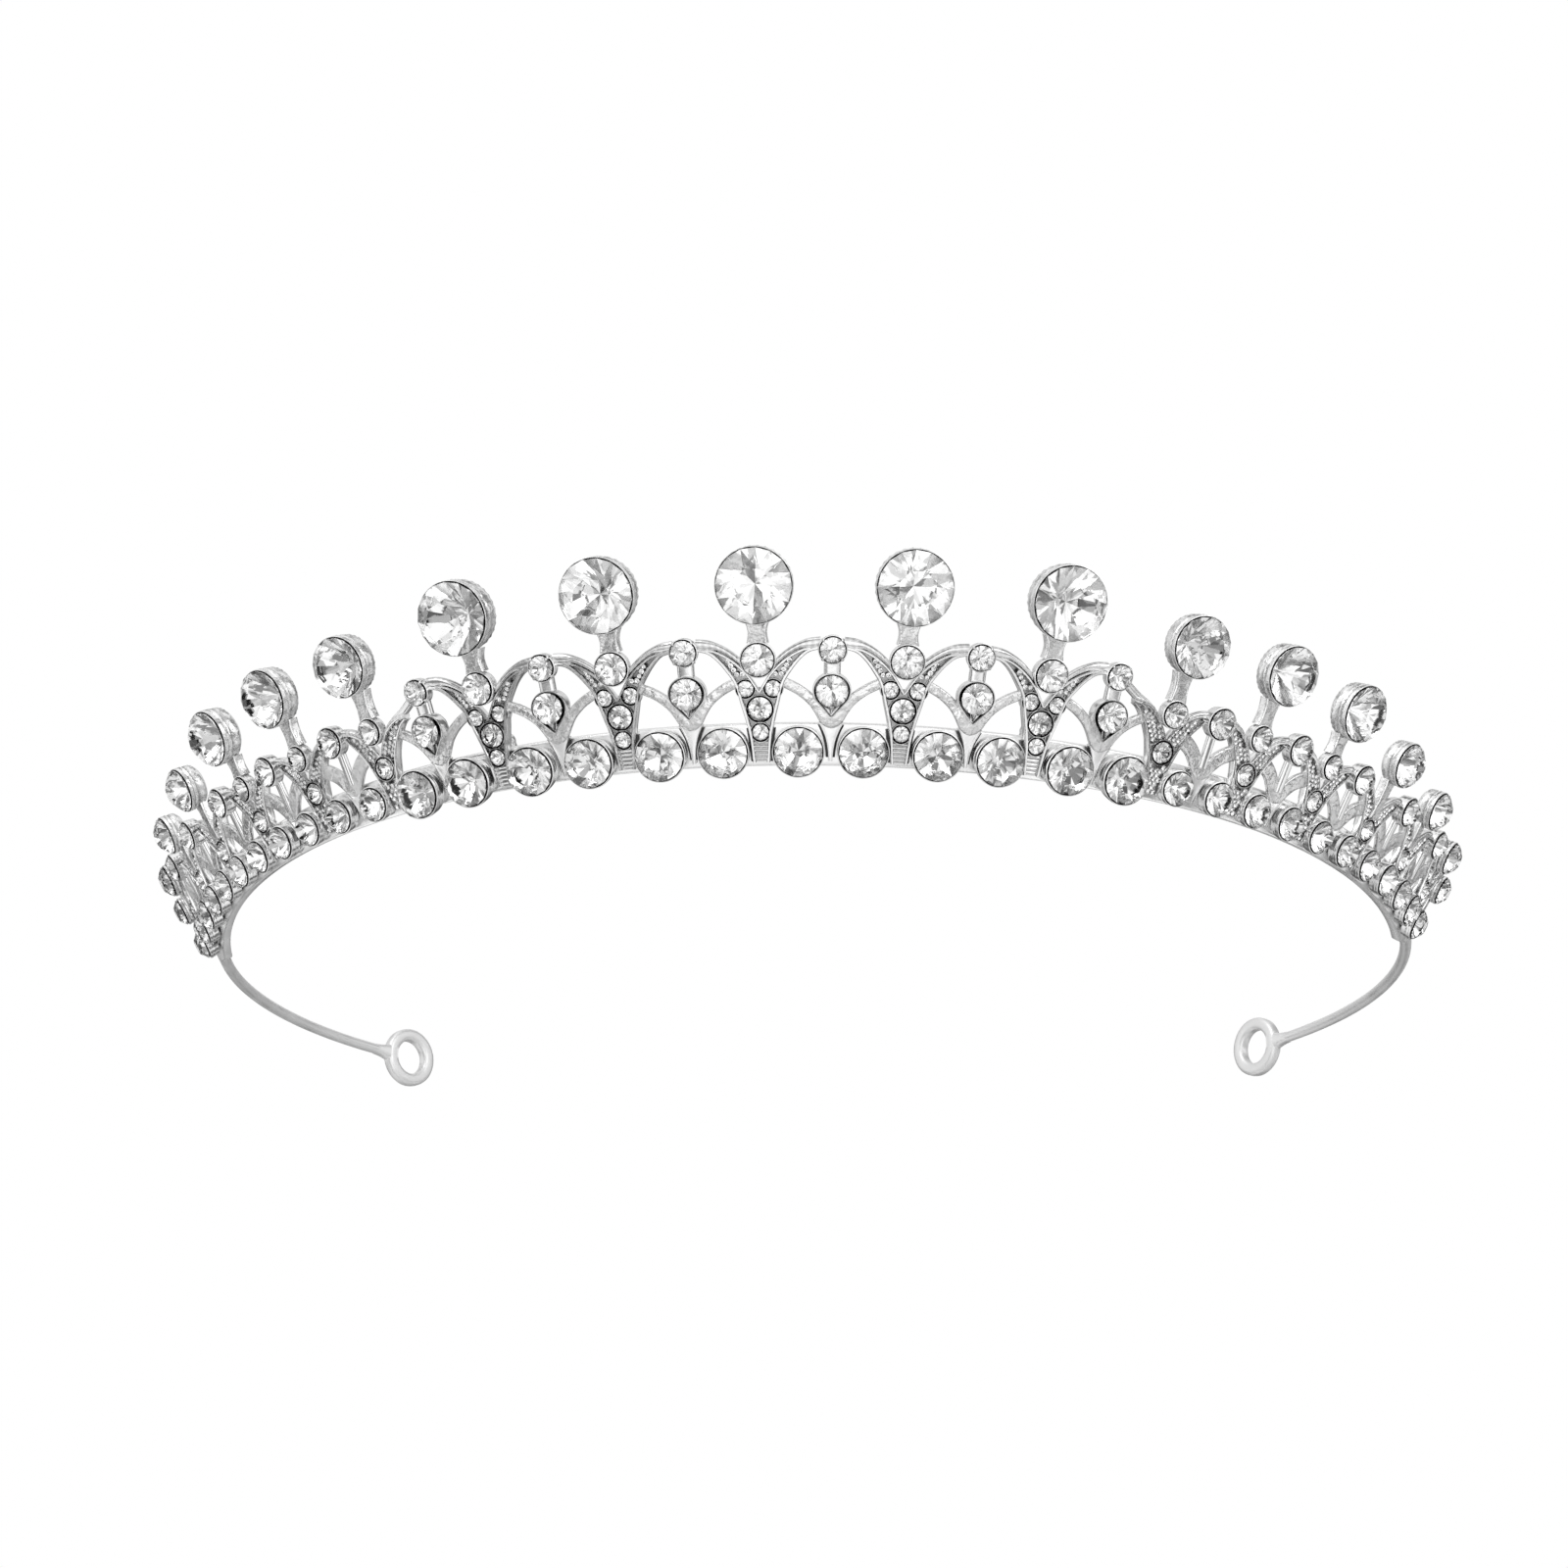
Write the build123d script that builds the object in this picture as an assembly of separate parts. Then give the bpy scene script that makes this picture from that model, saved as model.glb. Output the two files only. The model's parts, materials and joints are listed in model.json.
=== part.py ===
from build123d import *
import os
from math import cos, degrees, radians, sin

os.makedirs("parts", exist_ok=True)

# Driving dimensions, in millimetres and degrees.
# The tiara lies on a cone: "arc" runs along the base circle, "up" climbs the
# slope of the cone, and "out" stands square off its face.
head_radius = 78.5          # base circle, through the middle of the base stones
flare = 32.0                # lean of the whole face, outwards from upright
wide_pitch = 14.8           # from one V motif to the next, in the middle
narrow_pitch = 11.7         # the same, along the two sides
wide_count = 3              # wide pitches on each side
narrow_count = 5            # narrow pitches on each side

band_thickness = 1.2
band_top = 2.8              # upper edge of the band, above the base stones' middle
band_bottom = -1.9
band_overhang = 2.9         # band beyond the last base stone's middle
tab_length = 4.5            # tapered tab at each end of the band
tab_size = (2.6, 1.5)       # height and thickness of the tab's tip

base_stone_wide = 5.3
base_stone_narrow = 3.8
wide_stone_offset = 3.97    # base stone beside a wide V motif, from its middle
narrow_stone_offset = 2.93
narrow_stone_up = 0.3

apex_up_wide = 11.15        # stone where the horns of two motifs meet
apex_up_narrow = 8.6
apex_stone_wide = 2.8
apex_stone_narrow = 3.4
drop_stone = 3.5
drop_up = 6.65
crotch_stone_wide = 3.55
crotch_up_wide = 10.1
crotch_stone_narrow = 2.9
crotch_up_narrow = 8.3

crown_stones = [8.1, 8.1, 8.1, 6.8, 6.7, 6.5, 5.2, 4.6, 4.0]
crown_ups = [18.4, 18.4, 18.4, 16.4, 16.2, 15.4, 12.9, 11.2, 9.2]
end_stone = 3.4             # last stone on the band's end
end_stone_up = 6.2
end_stone_offset = 4.6      # from the last V motif's middle

cup_wall = 0.25             # metal round a stone
cup_back = 0.6              # metal behind a stone
glue_gap = 0.03             # adhesive film between a stone and its cup
motif_back = band_thickness + 0.02
motif_thickness = 1.3
rail_height = 0.35          # raised edge of a V motif
leaf_thickness = 0.75
post_width = (2.1, 2.7)     # crown post, foot and head
post_thickness = 1.7
pave_stone = 0.7
pave_depth = 0.8            # floor of a smallest stone's seat, above the motif's back

lug_size = (2.0, 3.4, 1.3)
lug_up = 2.5

wire_diameter = 1.5
wire_bend_radius = 58.0
wire_turn = 50.4
wire_gap = 0.12             # hairline between tab and wire, for the flexing wire
ring_outer = 8.7
ring_hole = 5.0
ring_thickness = 1.8

plain_crotch = 6            # from this motif on, the crown post stands in the bare crotch
bare_crotch_up = 5.5
end_post_foot = 2.6         # height where the post of the last stone begins

last_motif = wide_count + narrow_count
end_arc = wide_count * wide_pitch + narrow_count * narrow_pitch + narrow_stone_offset


def motif_arc(index):
    """Arc length from the middle of the tiara to V motif number index."""
    wide = min(index, wide_count)
    return wide * wide_pitch + (index - wide) * narrow_pitch


def face_plane(arc, up=0.0, out=0.0):
    """Plane on the cone: x along the band, y up the slope, z out of the face."""
    turn = arc / head_radius
    lean = radians(flare)
    tangent = Vector(cos(turn), sin(turn), 0)
    slope = Vector(sin(turn) * sin(lean), -cos(turn) * sin(lean), cos(lean))
    normal = Vector(sin(turn) * cos(lean), -cos(turn) * cos(lean), -sin(lean))
    foot = Vector(head_radius * sin(turn), -head_radius * cos(turn), 0)
    return Plane(foot + slope * up + normal * out, x_dir=tangent, z_dir=normal)


def place(shape, arc, up=0.0, out=0.0):
    """Set a piece that is drawn flat onto the cone."""
    return shape.moved(Location(face_plane(arc, up, out)))


def disc(diameter, low, high):
    """Round slug between two heights."""
    slug = Cylinder(diameter / 2, high - low, align=(Align.CENTER, Align.CENTER, Align.MIN))
    return slug.moved(Location((0, 0, low)))


def seat_height(stone):
    """Height of a stone's girdle above the back of its cup."""
    return cup_back + stone * 0.36


def wire_up():
    """Wire's height on the slope, so that its ring reaches as low as the wide cups."""
    lean = radians(flare)
    cup_rim = base_stone_wide / 2 + cup_wall
    lowest = -cup_rim * cos(lean) - (motif_back + seat_height(base_stone_wide)) * sin(lean)
    return (lowest + ring_outer / 2 + band_thickness / 2 * sin(lean)) / cos(lean)


def stone_solid(stone):
    """Cut stone: pointed back, girdle, sloping crown and flat table."""
    radius = stone / 2
    girdle = seat_height(stone)
    profile = Polyline(
        (0, cup_back + glue_gap),
        (radius - 0.02, girdle),
        (radius - 0.02, girdle + 0.12),
        (radius * 0.56, girdle + 0.12 + radius * 0.36),
        (0, girdle + 0.12 + radius * 0.36),
        (0, cup_back + glue_gap),
    )
    return revolve(Plane.XZ * make_face(profile), axis=Axis.Z)


def cup_solid(stone, back=0.0):
    """Round cup with a cone-shaped seat, its back set at height back."""
    radius = stone / 2
    girdle = seat_height(stone)
    profile = Polyline(
        (0, back),
        (radius + cup_wall, back),
        (radius + cup_wall, girdle),
        (radius, girdle),
        (0, cup_back),
        (0, back),
    )
    return revolve(Plane.XZ * make_face(profile), axis=Axis.Z)


def mirrored(points):
    """Closed outline from its right half, which starts and ends on the middle line."""
    left = [(-x, y) for x, y in reversed(points[1:-1])]
    return points + left


def plate(points, thickness):
    """Flat plate with straight-sided outline points, standing on its back."""
    return extrude(make_face(Polyline(points, close=True)), thickness, dir=(0, 0, 1))


def largest(shape):
    """The biggest solid of a cut piece, without its crumbs."""
    return max(shape.solids(), key=lambda solid: solid.volume)


def motif_size(index):
    """Sideways and upward scale of V motif number index."""
    if index <= wide_count - 1:
        return 1.0, 1.0
    return narrow_pitch / wide_pitch, apex_up_narrow / apex_up_wide


def motif_stones(index):
    """Round stones in a V motif: diameter, sideways place and height."""
    wide, tall = motif_size(index)
    if wide < 1:
        return [(2.6, 0, 4.9 * tall)]
    return [(1.9, 0, 2.15), (2.7, 0, 4.6), (2.0, 1.45, 6.75), (2.0, -1.45, 6.75)]


def v_motif(index):
    """V of two curved horns on a narrow foot, with a sunk channel between rails."""
    wide, tall = motif_size(index)
    outer = [(0, -1.3), (0.8, -1.3), (1.3, 2.1), (2.2, 5.6), (2.6, 7.5), (3.4, 8.9)]
    outer += [(4.2, 10.1), (5.1, 10.85), (5.72, 11.05), (5.72, 12.25), (4.8, 12.1)]
    outer += [(3.2, 11.2), (1.75, 9.7), (0.9, 8.2), (0, 6.9)]
    outer = [(x * wide, y * tall) for x, y in outer]
    body = plate(mirrored(outer), motif_thickness)
    inner = [(0, -0.95), (0.5, -0.95), (1.0, 2.1), (1.9, 5.7), (2.3, 7.6), (3.15, 9.1)]
    inner += [(4.6, 11.0), (3.4, 10.7), (2.1, 9.4), (1.1, 8.0), (0, 6.4)]
    inner = [(x * wide, y * tall) for x, y in inner]
    channel = plate(mirrored(inner), rail_height)
    body -= channel.moved(Location((0, 0, motif_thickness - rail_height)))
    for stone, across, up in motif_stones(index):
        body -= disc(stone + glue_gap, 0.35, motif_thickness).moved(Location((across, up, 0)))
    for across, up in pave_spots(index):
        body -= disc(pave_stone + glue_gap, pave_depth, motif_thickness).moved(Location((across, up, 0)))
    return largest(body)


def small_stone(stone, low):
    """Little stone that fills a drilled seat and shows a low crown."""
    radius = stone / 2
    profile = Polyline(
        (0, low),
        (radius * 0.6, low),
        (radius - 0.02, motif_thickness - rail_height),
        (radius - 0.02, motif_thickness - rail_height + 0.1),
        (radius * 0.55, motif_thickness),
        (0, motif_thickness),
        (0, low),
    )
    return revolve(Plane.XZ * make_face(profile), axis=Axis.Z)


def pave_spots(index):
    """Places of the smallest stones along both horns of a V motif."""
    wide, tall = motif_size(index)
    count = 4 if wide == 1 else 3
    start, finish = ((2.4, 8.4), (4.0, 10.45)) if wide == 1 else ((1.9, 7.4), (3.9, 10.4))
    spots = []
    for step in range(count):
        share = step / (count - 1)
        across = start[0] + (finish[0] - start[0]) * share
        up = start[1] + (finish[1] - start[1]) * share
        spots += [(across * wide, up * tall), (-across * wide, up * tall)]
    return spots


def leaf(index):
    """Leaf between two motifs: pointed foot, two arms, stem and cups of its stones."""
    if index < wide_count:
        outline = [(0, -1.2), (0.3, -1.2), (0.42, 0.6), (1.15, 2.9), (2.2, 4.95), (3.8, 6.2)]
        outline += [(4.9, 6.8)]
        outline += [(4.9, 8.6), (3.8, 8.0), (2.4, 6.6), (1.0, 4.3), (0, 3.2)]
        body = plate(mirrored(outline), leaf_thickness)
        drop = cup_solid(drop_stone)
        point = plate(mirrored([(0, 3.1), (1.55, 5.9), (0, 6.6)]), seat_height(drop_stone) - 0.4)
        body += drop.moved(Location((0, drop_up, 0))) + point
        body -= disc(drop_stone, cup_back, 4).moved(Location((0, drop_up, 0)))
        body += plate([(-0.55, 8.0), (0.55, 8.0), (0.55, 9.9), (-0.55, 9.9)], 1.2)
        body -= disc(drop_stone, cup_back, 4).moved(Location((0, drop_up, 0)))
        apex, apex_stone = apex_up_wide, apex_stone_wide
    else:
        outline = [(0, -0.9), (0.3, -0.9), (0.95, 2.2), (2.0, 4.1), (4.0, 5.5)]
        outline += [(4.0, 6.8), (2.1, 5.6), (0.75, 3.6), (0, 2.9)]
        body = plate(mirrored(outline), leaf_thickness)
        body += plate([(-0.45, 3.0), (0.45, 3.0), (0.45, 7.2), (-0.45, 7.2)], 0.8)
        apex, apex_stone = apex_up_narrow, apex_stone_narrow
    body -= disc(apex_stone + 0.4, -1, 4).moved(Location((0, apex, 0)))
    body += cup_solid(apex_stone).moved(Location((0, apex, 0)))
    return largest(body)


def spike_post(stone, low, high):
    """Post that widens from its foot to the crown stone's cup."""
    foot, head = post_width
    share = stone / crown_stones[0]
    half = (foot / 2 * (0.6 + 0.4 * share), head / 2 * share)
    outline = [(-half[0], low), (half[0], low), (half[1], high), (-half[1], high)]
    return plate(outline, post_thickness * (0.5 + 0.5 * share))


def crown_spike(stone, crown_up, low):
    """Post, from height low, and deep cup of a crown stone."""
    spike = spike_post(stone, low, crown_up - stone / 2)
    spike += cup_solid(stone, -0.6).moved(Location((0, crown_up, 0)))
    return spike


def crotch_spike(stone, crown_up, crotch, crotch_up):
    """Crown spike that stands on the cup of a stone in the V's crotch."""
    spike = crown_spike(stone, crown_up, crotch_up + crotch / 2)
    spike += cup_solid(crotch).moved(Location((0, crotch_up, 0)))
    spike -= disc(crotch, seat_height(crotch), 5).moved(Location((0, crotch_up, 0)))
    return largest(spike)


def base_band():
    """Conical strip with a tapered tab at each end."""
    lean = radians(flare)

    def corner(up, out):
        return (head_radius + up * sin(lean) + out * cos(lean), up * cos(lean) - out * sin(lean))

    section = Polyline(
        corner(band_bottom, 0),
        corner(band_bottom, band_thickness),
        corner(band_top, band_thickness),
        corner(band_top, 0),
        close=True,
    )
    half_turn = degrees((end_arc + band_overhang) / head_radius)
    strip = revolve(Plane.XZ * make_face(section), axis=Axis.Z, revolution_arc=2 * half_turn)
    strip = strip.rotate(Axis.Z, -90 - half_turn)
    for side in (1, -1):
        strip += end_tab(side)
    return strip.solid()


def tab_root(side):
    """Plane square to the band where its tab begins, z pointing along the band."""
    arc = side * (end_arc + band_overhang)
    face = face_plane(arc, (band_top + band_bottom) / 2, band_thickness / 2)
    return Plane(face.origin, x_dir=face.z_dir, z_dir=face.x_dir * side)


def tab_tip(side):
    """Plane at the tab's tip, where the wire begins."""
    root = tab_root(side)
    return Plane(wire_root(side), x_dir=root.x_dir, z_dir=root.z_dir)


def wire_root(side):
    """Point on the wire's axis at the tab's tip."""
    face = face_plane(side * (end_arc + band_overhang), wire_up(), band_thickness / 2)
    return face.origin + face.x_dir * side * tab_length


def end_tab(side):
    """Tab that narrows from the band's full height to the wire."""
    height, thickness = tab_size
    root = tab_root(side) * Rectangle(band_thickness, band_top - band_bottom)
    tip = tab_tip(side) * Rectangle(thickness, height)
    return loft([root.face(), tip.face()])


def wire_frame(side):
    """Start point and level heading of a side wire."""
    start = wire_root(side)
    turn = side * (end_arc + band_overhang) / head_radius
    heading = Vector(cos(turn), sin(turn), 0) * side
    return start, heading


def wire_point(side, turn):
    """Point on the wire's axis after it has turned through an angle, and its heading."""
    start, heading = wire_frame(side)
    inward = Vector(-heading.Y, heading.X, 0) * side
    centre = start + heading * wire_gap + inward * wire_bend_radius
    point = centre - inward * wire_bend_radius * cos(turn) + heading * wire_bend_radius * sin(turn)
    return point, heading * cos(turn) + inward * sin(turn)


def ring_centre(side):
    """Middle of the ring at a side wire's end."""
    tip, away = wire_point(side, radians(wire_turn))
    return tip + away * (ring_outer / 2 - 0.3)


def ring_axis(side):
    """Axis of a ring's hole, pointing outwards."""
    away = wire_point(side, radians(wire_turn))[1]
    return away.cross(Vector(0, 0, 1)) * side


def side_wire(side):
    """Springy wire that curves in behind the ear and ends in a flat ring."""
    full = radians(wire_turn)
    begin, heading = wire_point(side, 0)
    tip, away = wire_point(side, full)
    path = ThreePointArc(begin, wire_point(side, full / 2)[0], tip)
    wire = sweep(Plane(begin, z_dir=heading) * Circle(wire_diameter / 2), path=path)
    ring_plane = Plane(ring_centre(side), x_dir=away, z_dir=ring_axis(side))
    disc_outer = Cylinder(ring_outer / 2, ring_thickness)
    disc_outer = fillet(disc_outer.edges().filter_by(GeomType.CIRCLE), 0.3)
    hole = Cylinder(ring_hole / 2, ring_thickness * 2)
    ring = disc_outer - hole
    wire += ring.moved(Location(ring_plane))
    wire -= hole.moved(Location(ring_plane))
    return wire.solid()


def rear_lug(side):
    """Small cast lug on the inner face, behind the third motif."""
    across, tall, deep = lug_size
    lug = Box(across, tall, deep, align=(Align.CENTER, Align.CENTER, Align.MAX))
    lug = fillet(lug.faces().sort_by(Axis.Z)[0].edges(), 0.35)
    return place(lug, side * motif_arc(wide_count - 1), lug_up, -0.04)


def base_places():
    """Arc, height and diameter of each base stone on one side."""
    places = []
    for index in range(wide_count):
        for offset in (wide_stone_offset, wide_pitch - wide_stone_offset):
            places.append((motif_arc(index) + offset, 0.0, base_stone_wide))
    for index in range(wide_count, last_motif):
        for offset in (narrow_stone_offset, narrow_pitch - narrow_stone_offset):
            places.append((motif_arc(index) + offset, narrow_stone_up, base_stone_narrow))
    places.append((end_arc, narrow_stone_up, base_stone_narrow))
    return places


def crotch_of(index):
    """Diameter and height of the stone in a motif's crotch."""
    if index < wide_count:
        return crotch_stone_wide, crotch_up_wide
    return crotch_stone_narrow, crotch_up_narrow


nodes = {}


def add(name, shape):
    """Keep a piece, or one more piece of a group, under its node's name."""
    nodes.setdefault(name, []).append(shape)


add("base_band", base_band())
side_names = {1: "right", -1: "left"}

motifs = {}
for side in (1, -1):
    for index in range(last_motif + 1):
        if index == 0 and side < 0:
            continue
        name = "v_motif_center" if index == 0 else f"v_motif_{side_names[side]}_{index}"
        arc = side * motif_arc(index)
        motifs[side * index] = place(v_motif(index), arc, 0, motif_back)
        add(name, motifs[side * index])
        for stone, across, up in motif_stones(index):
            flat = small_stone(stone, 0.38).moved(Location((across, up, 0)))
            add("motif_stones", place(flat, arc, 0, motif_back))
        for across, up in pave_spots(index):
            bead = disc(pave_stone, pave_depth + 0.01, motif_thickness - 0.05)
            add("pave_stones", place(bead.moved(Location((across, up, 0))), arc, 0, motif_back))

for side in (1, -1):
    side_name = side_names[side]
    for arc, up, stone in base_places():
        size = "large" if stone == base_stone_wide else "small"
        add(f"base_cups_{side_name}", place(cup_solid(stone), side * arc, up, motif_back))
        add(f"base_stones_{size}", place(stone_solid(stone), side * arc, up, motif_back))
    for index in range(last_motif):
        middle = (motif_arc(index) + motif_arc(index + 1)) / 2
        piece = place(leaf(index), side * middle, 0, motif_back)
        piece = largest(piece - motifs[side * index] - motifs[side * (index + 1)])
        add(f"leaf_{side_name}_{index + 1}", piece)
        apex, stone = (apex_up_wide, apex_stone_wide)
        if index >= wide_count:
            apex, stone = (apex_up_narrow, apex_stone_narrow)
        add("apex_stones", place(stone_solid(stone), side * middle, apex, motif_back))
        if index < wide_count:
            add("drop_stones", place(stone_solid(drop_stone), side * middle, drop_up, motif_back))
    for index, (stone, up) in enumerate(zip(crown_stones, crown_ups)):
        if index == 0 and side < 0:
            continue
        arc = side * motif_arc(index)
        if index < plain_crotch:
            crotch, crotch_up = crotch_of(index)
            flat_spike = crotch_spike(stone, up, crotch, crotch_up)
            add("crotch_stones", place(stone_solid(crotch), arc, crotch_up, motif_back))
        else:
            flat_spike = crown_spike(stone, up, bare_crotch_up)
        spike = largest(place(flat_spike, arc, 0, motif_back) - motifs[side * index])
        name = "crown_spike_center" if index == 0 else f"crown_spike_{side_name}_{index}"
        if index >= plain_crotch:
            name = f"crown_spikes_end_{side_name}"
        add(name, spike)
        add("crown_stones", place(stone_solid(stone), arc, up, motif_back))
    end = side * (motif_arc(last_motif) + end_stone_offset)
    end_piece = place(crown_spike(end_stone, end_stone_up, end_post_foot), end, 0, motif_back)
    add(f"crown_spikes_end_{side_name}", largest(end_piece - motifs[side * last_motif]))
    add("crown_stones", place(stone_solid(end_stone), end, end_stone_up, motif_back))
    add("rear_lugs", rear_lug(side))
    add(f"side_wire_{side_name}", side_wire(side))

everything = Compound([solid for shapes in nodes.values() for shape in shapes for solid in shape.solids()])
box = everything.bounding_box()
shift = Location((-(box.min.X + box.max.X) / 2, -(box.min.Y + box.max.Y) / 2, -box.min.Z))
for side in (1, -1):
    print("wire root", side, wire_root(side) + shift.position)
    print("ring", side, ring_centre(side) + shift.position, "axis", ring_axis(side))
print("box", box.size, "shift", shift.position)

for name, shapes in nodes.items():
    solids = [solid.moved(shift) for shape in shapes for solid in shape.solids()]
    export_step(solids[0] if len(solids) == 1 else Compound(solids), f"parts/{name}.step")
print(len(nodes), "nodes")
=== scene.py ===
import json
import bpy
import numpy as np
from mathutils import Matrix, Vector


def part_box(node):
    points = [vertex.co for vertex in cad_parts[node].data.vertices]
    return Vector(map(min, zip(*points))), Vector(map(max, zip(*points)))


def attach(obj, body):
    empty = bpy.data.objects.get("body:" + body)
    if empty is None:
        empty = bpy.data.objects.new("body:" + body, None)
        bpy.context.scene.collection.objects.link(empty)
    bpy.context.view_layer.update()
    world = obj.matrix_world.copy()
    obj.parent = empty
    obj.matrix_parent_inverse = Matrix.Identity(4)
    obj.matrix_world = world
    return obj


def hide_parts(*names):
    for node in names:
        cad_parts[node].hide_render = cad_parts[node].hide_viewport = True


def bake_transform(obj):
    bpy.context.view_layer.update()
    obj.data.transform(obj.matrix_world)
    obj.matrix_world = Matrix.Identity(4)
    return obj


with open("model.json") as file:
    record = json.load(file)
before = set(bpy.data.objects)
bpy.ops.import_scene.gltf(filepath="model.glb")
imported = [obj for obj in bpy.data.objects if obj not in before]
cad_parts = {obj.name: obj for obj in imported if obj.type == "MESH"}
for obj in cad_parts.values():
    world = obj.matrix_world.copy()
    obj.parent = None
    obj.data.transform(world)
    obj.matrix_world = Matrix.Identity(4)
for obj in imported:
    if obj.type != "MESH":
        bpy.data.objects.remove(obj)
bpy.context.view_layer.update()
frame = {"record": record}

# The tiara's sizes are in millimetres and degrees, and unit turns them into metres.
# The lights, the floor and the bump heights are in metres.
unit = 0.001

# the cone that the whole tiara lies on
cone = dict(
    radius=78.5,  # base circle, through the middle of the base stones
    flare=32.0,  # lean of the face, outwards from upright
    widePitch=14.8,
    narrowPitch=11.7,
    wideCount=3,
    motifCount=8,  # V motifs on each side of the middle one
    back=1.22,  # back of the castings, just off the band's outer face
)

band = dict(top=2.8, bottom=-1.9, thickness=1.2, end=108.7, tab=4.5, tabTall=2.6, tabThick=1.5, tabUp=0.2)

baseStone = dict(wide=5.3, narrow=3.8, wideOffset=3.97, narrowOffset=2.93, narrowUp=0.3,
                 sink=0.08, spread=0.04)  # sink is over the stone's diameter

cutStone = dict(
    table=0.52,  # radius of the flat top, over the stone's radius
    star=0.76, starUp=0.56,  # radius of the ring of star points, and its share of the crown's height
    crown=0.40,  # height over the girdle, over the radius
    girdle=0.05,
    pavilion=0.87,  # depth under the girdle, over the radius
    deep=0.3, deepDown=0.72,  # radius of the ring above the culet, and its share of the depth
    seat=0.72,  # girdle's height over the cup's floor, over the radius
    mainFacetShades=[1, 2, 1, 3, 1, 1, 2, 3],  # foil of the facets round the culet: bright, or painted half shade or painted shade; the next line does the same for the lower facets
    lowerFacetShades=[1, 2, 1, 1, 2, 3, 1, 1, 2, 1, 3, 1, 1, 2, 1, 3],
)

cup = dict(
    wall=0.22, floor=0.6, sides=60, proud=0.16,
    under=0.2,  # metal left below a stone's point
    ridge=0.035, grooveShade=0.45, lipShade=0.9, wave=0.012,  # only on a beaded cup; the two grey levels are painted shade in the grooves and on the inner lip
)

crown = dict(
    stones=[8.1, 8.1, 8.1, 6.8, 6.7, 6.5, 5.2, 4.6, 4.0],
    ups=[18.4, 18.4, 18.4, 16.4, 16.2, 15.4, 12.9, 11.2, 9.2],
    endStone=3.4, endUp=6.2, endOffset=4.6, endFoot=2.6,
    footWide=2.45, headWide=2.95, thick=1.7, bareFoot=5.4, plainFrom=6, back=-0.15, spread=0.18,
)

crotch = dict(wide=3.55, wideUp=10.1, narrow=2.9, narrowUp=8.3)
apex = dict(wide=2.8, wideUp=11.15, narrow=3.4, narrowUp=8.6)
drop = dict(
    stone=3.5, up=6.65, wall=0.13, tip=3.75, tipHalf=0.06, railHalf=0.1, railLow=0.3,
    fall=0.55,  # how much lower the wall is at its point
    stem=1.7, stemLow=0.2, stemHigh=1.25,
)

# the box of the band gives the middle of the base circle and the height of the base stones' middle
lean = np.radians(cone["flare"])
bandLow = np.array(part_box("base_band")[0])
bandFront = cone["radius"] + band["top"] * np.sin(lean) + band["thickness"] * np.cos(lean)
middleY = bandLow[1] + bandFront * unit
middleZ = bandLow[2] - (band["bottom"] * np.cos(lean) - band["thickness"] * np.sin(lean)) * unit


def facePoint(arc, up, out):
    # arc along the base circle, up the slope and out of the face: radius = base + up sin + out cos
    turn = arc / cone["radius"]
    reach = cone["radius"] + up * np.sin(lean) + out * np.cos(lean)
    high = up * np.cos(lean) - out * np.sin(lean)
    x, y = reach * np.sin(turn), -reach * np.cos(turn)
    return np.stack([x * unit, y * unit + middleY, high * unit + middleZ], -1)


def faceAxes(arc):
    # columns are the directions along the band, up its slope and out of its face
    turn = arc / cone["radius"]
    along = [np.cos(turn), np.sin(turn), 0.0]
    slope = [np.sin(turn) * np.sin(lean), -np.cos(turn) * np.sin(lean), np.cos(lean)]
    normal = [np.sin(turn) * np.cos(lean), -np.cos(turn) * np.cos(lean), -np.sin(lean)]
    return np.array([along, slope, normal]).T


def motifArc(index):
    wide = min(index, cone["wideCount"])
    return wide * cone["widePitch"] + (index - wide) * cone["narrowPitch"]


def leafArc(index):
    return (motifArc(index) + motifArc(index + 1)) / 2


# a shell is a dictionary of points with quads and triangles, which functions make and join

def shell(points, quads, tris, paintedShadeAndTarnish=None, slot=0, smooth=True):
    points = np.asarray(points, float).reshape(-1, 3)
    quads = np.asarray(quads, int).reshape(-1, 4)
    tris = np.asarray(tris, int).reshape(-1, 3)
    paintedShadeAndTarnish = np.zeros(len(points)) if paintedShadeAndTarnish is None else np.broadcast_to(paintedShadeAndTarnish, len(points))
    slots = np.full(len(quads) + len(tris), slot)
    return dict(points=points, quads=quads, tris=tris, paintedShadeAndTarnish=np.array(paintedShadeAndTarnish, float),
                quadSlots=slots[: len(quads)], triSlots=slots[len(quads):], smooth=smooth)


def outward(piece):
    # six times the volume is the sum over triangles of a . (b x c), and a negative sum is inside out
    quads, tris = piece["quads"], piece["tris"]
    allTris = np.concatenate([quads[:, [0, 1, 2]], quads[:, [0, 2, 3]], tris])
    a, b, c = (piece["points"][allTris[:, k]] - piece["points"][0] for k in range(3))
    if np.einsum("ij,ij->", a, np.cross(b, c)) < 0:
        piece["quads"], piece["tris"] = quads[:, ::-1], tris[:, ::-1]
    return piece


def joinShells(pieces):
    start, points, quads, tris, paintedShadeAndTarnish, quadSlots, triSlots = 0, [], [], [], [], [], []
    for piece in pieces:
        points.append(piece["points"])
        quads.append(piece["quads"] + start)
        tris.append(piece["tris"] + start)
        paintedShadeAndTarnish.append(piece["paintedShadeAndTarnish"])
        quadSlots.append(piece["quadSlots"])
        triSlots.append(piece["triSlots"])
        start += len(piece["points"])
    joined = dict(points=np.concatenate(points), quads=np.concatenate(quads), tris=np.concatenate(tris),
                  paintedShadeAndTarnish=np.concatenate(paintedShadeAndTarnish), quadSlots=np.concatenate(quadSlots),
                  triSlots=np.concatenate(triSlots), smooth=pieces[0]["smooth"])
    return joined


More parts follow.
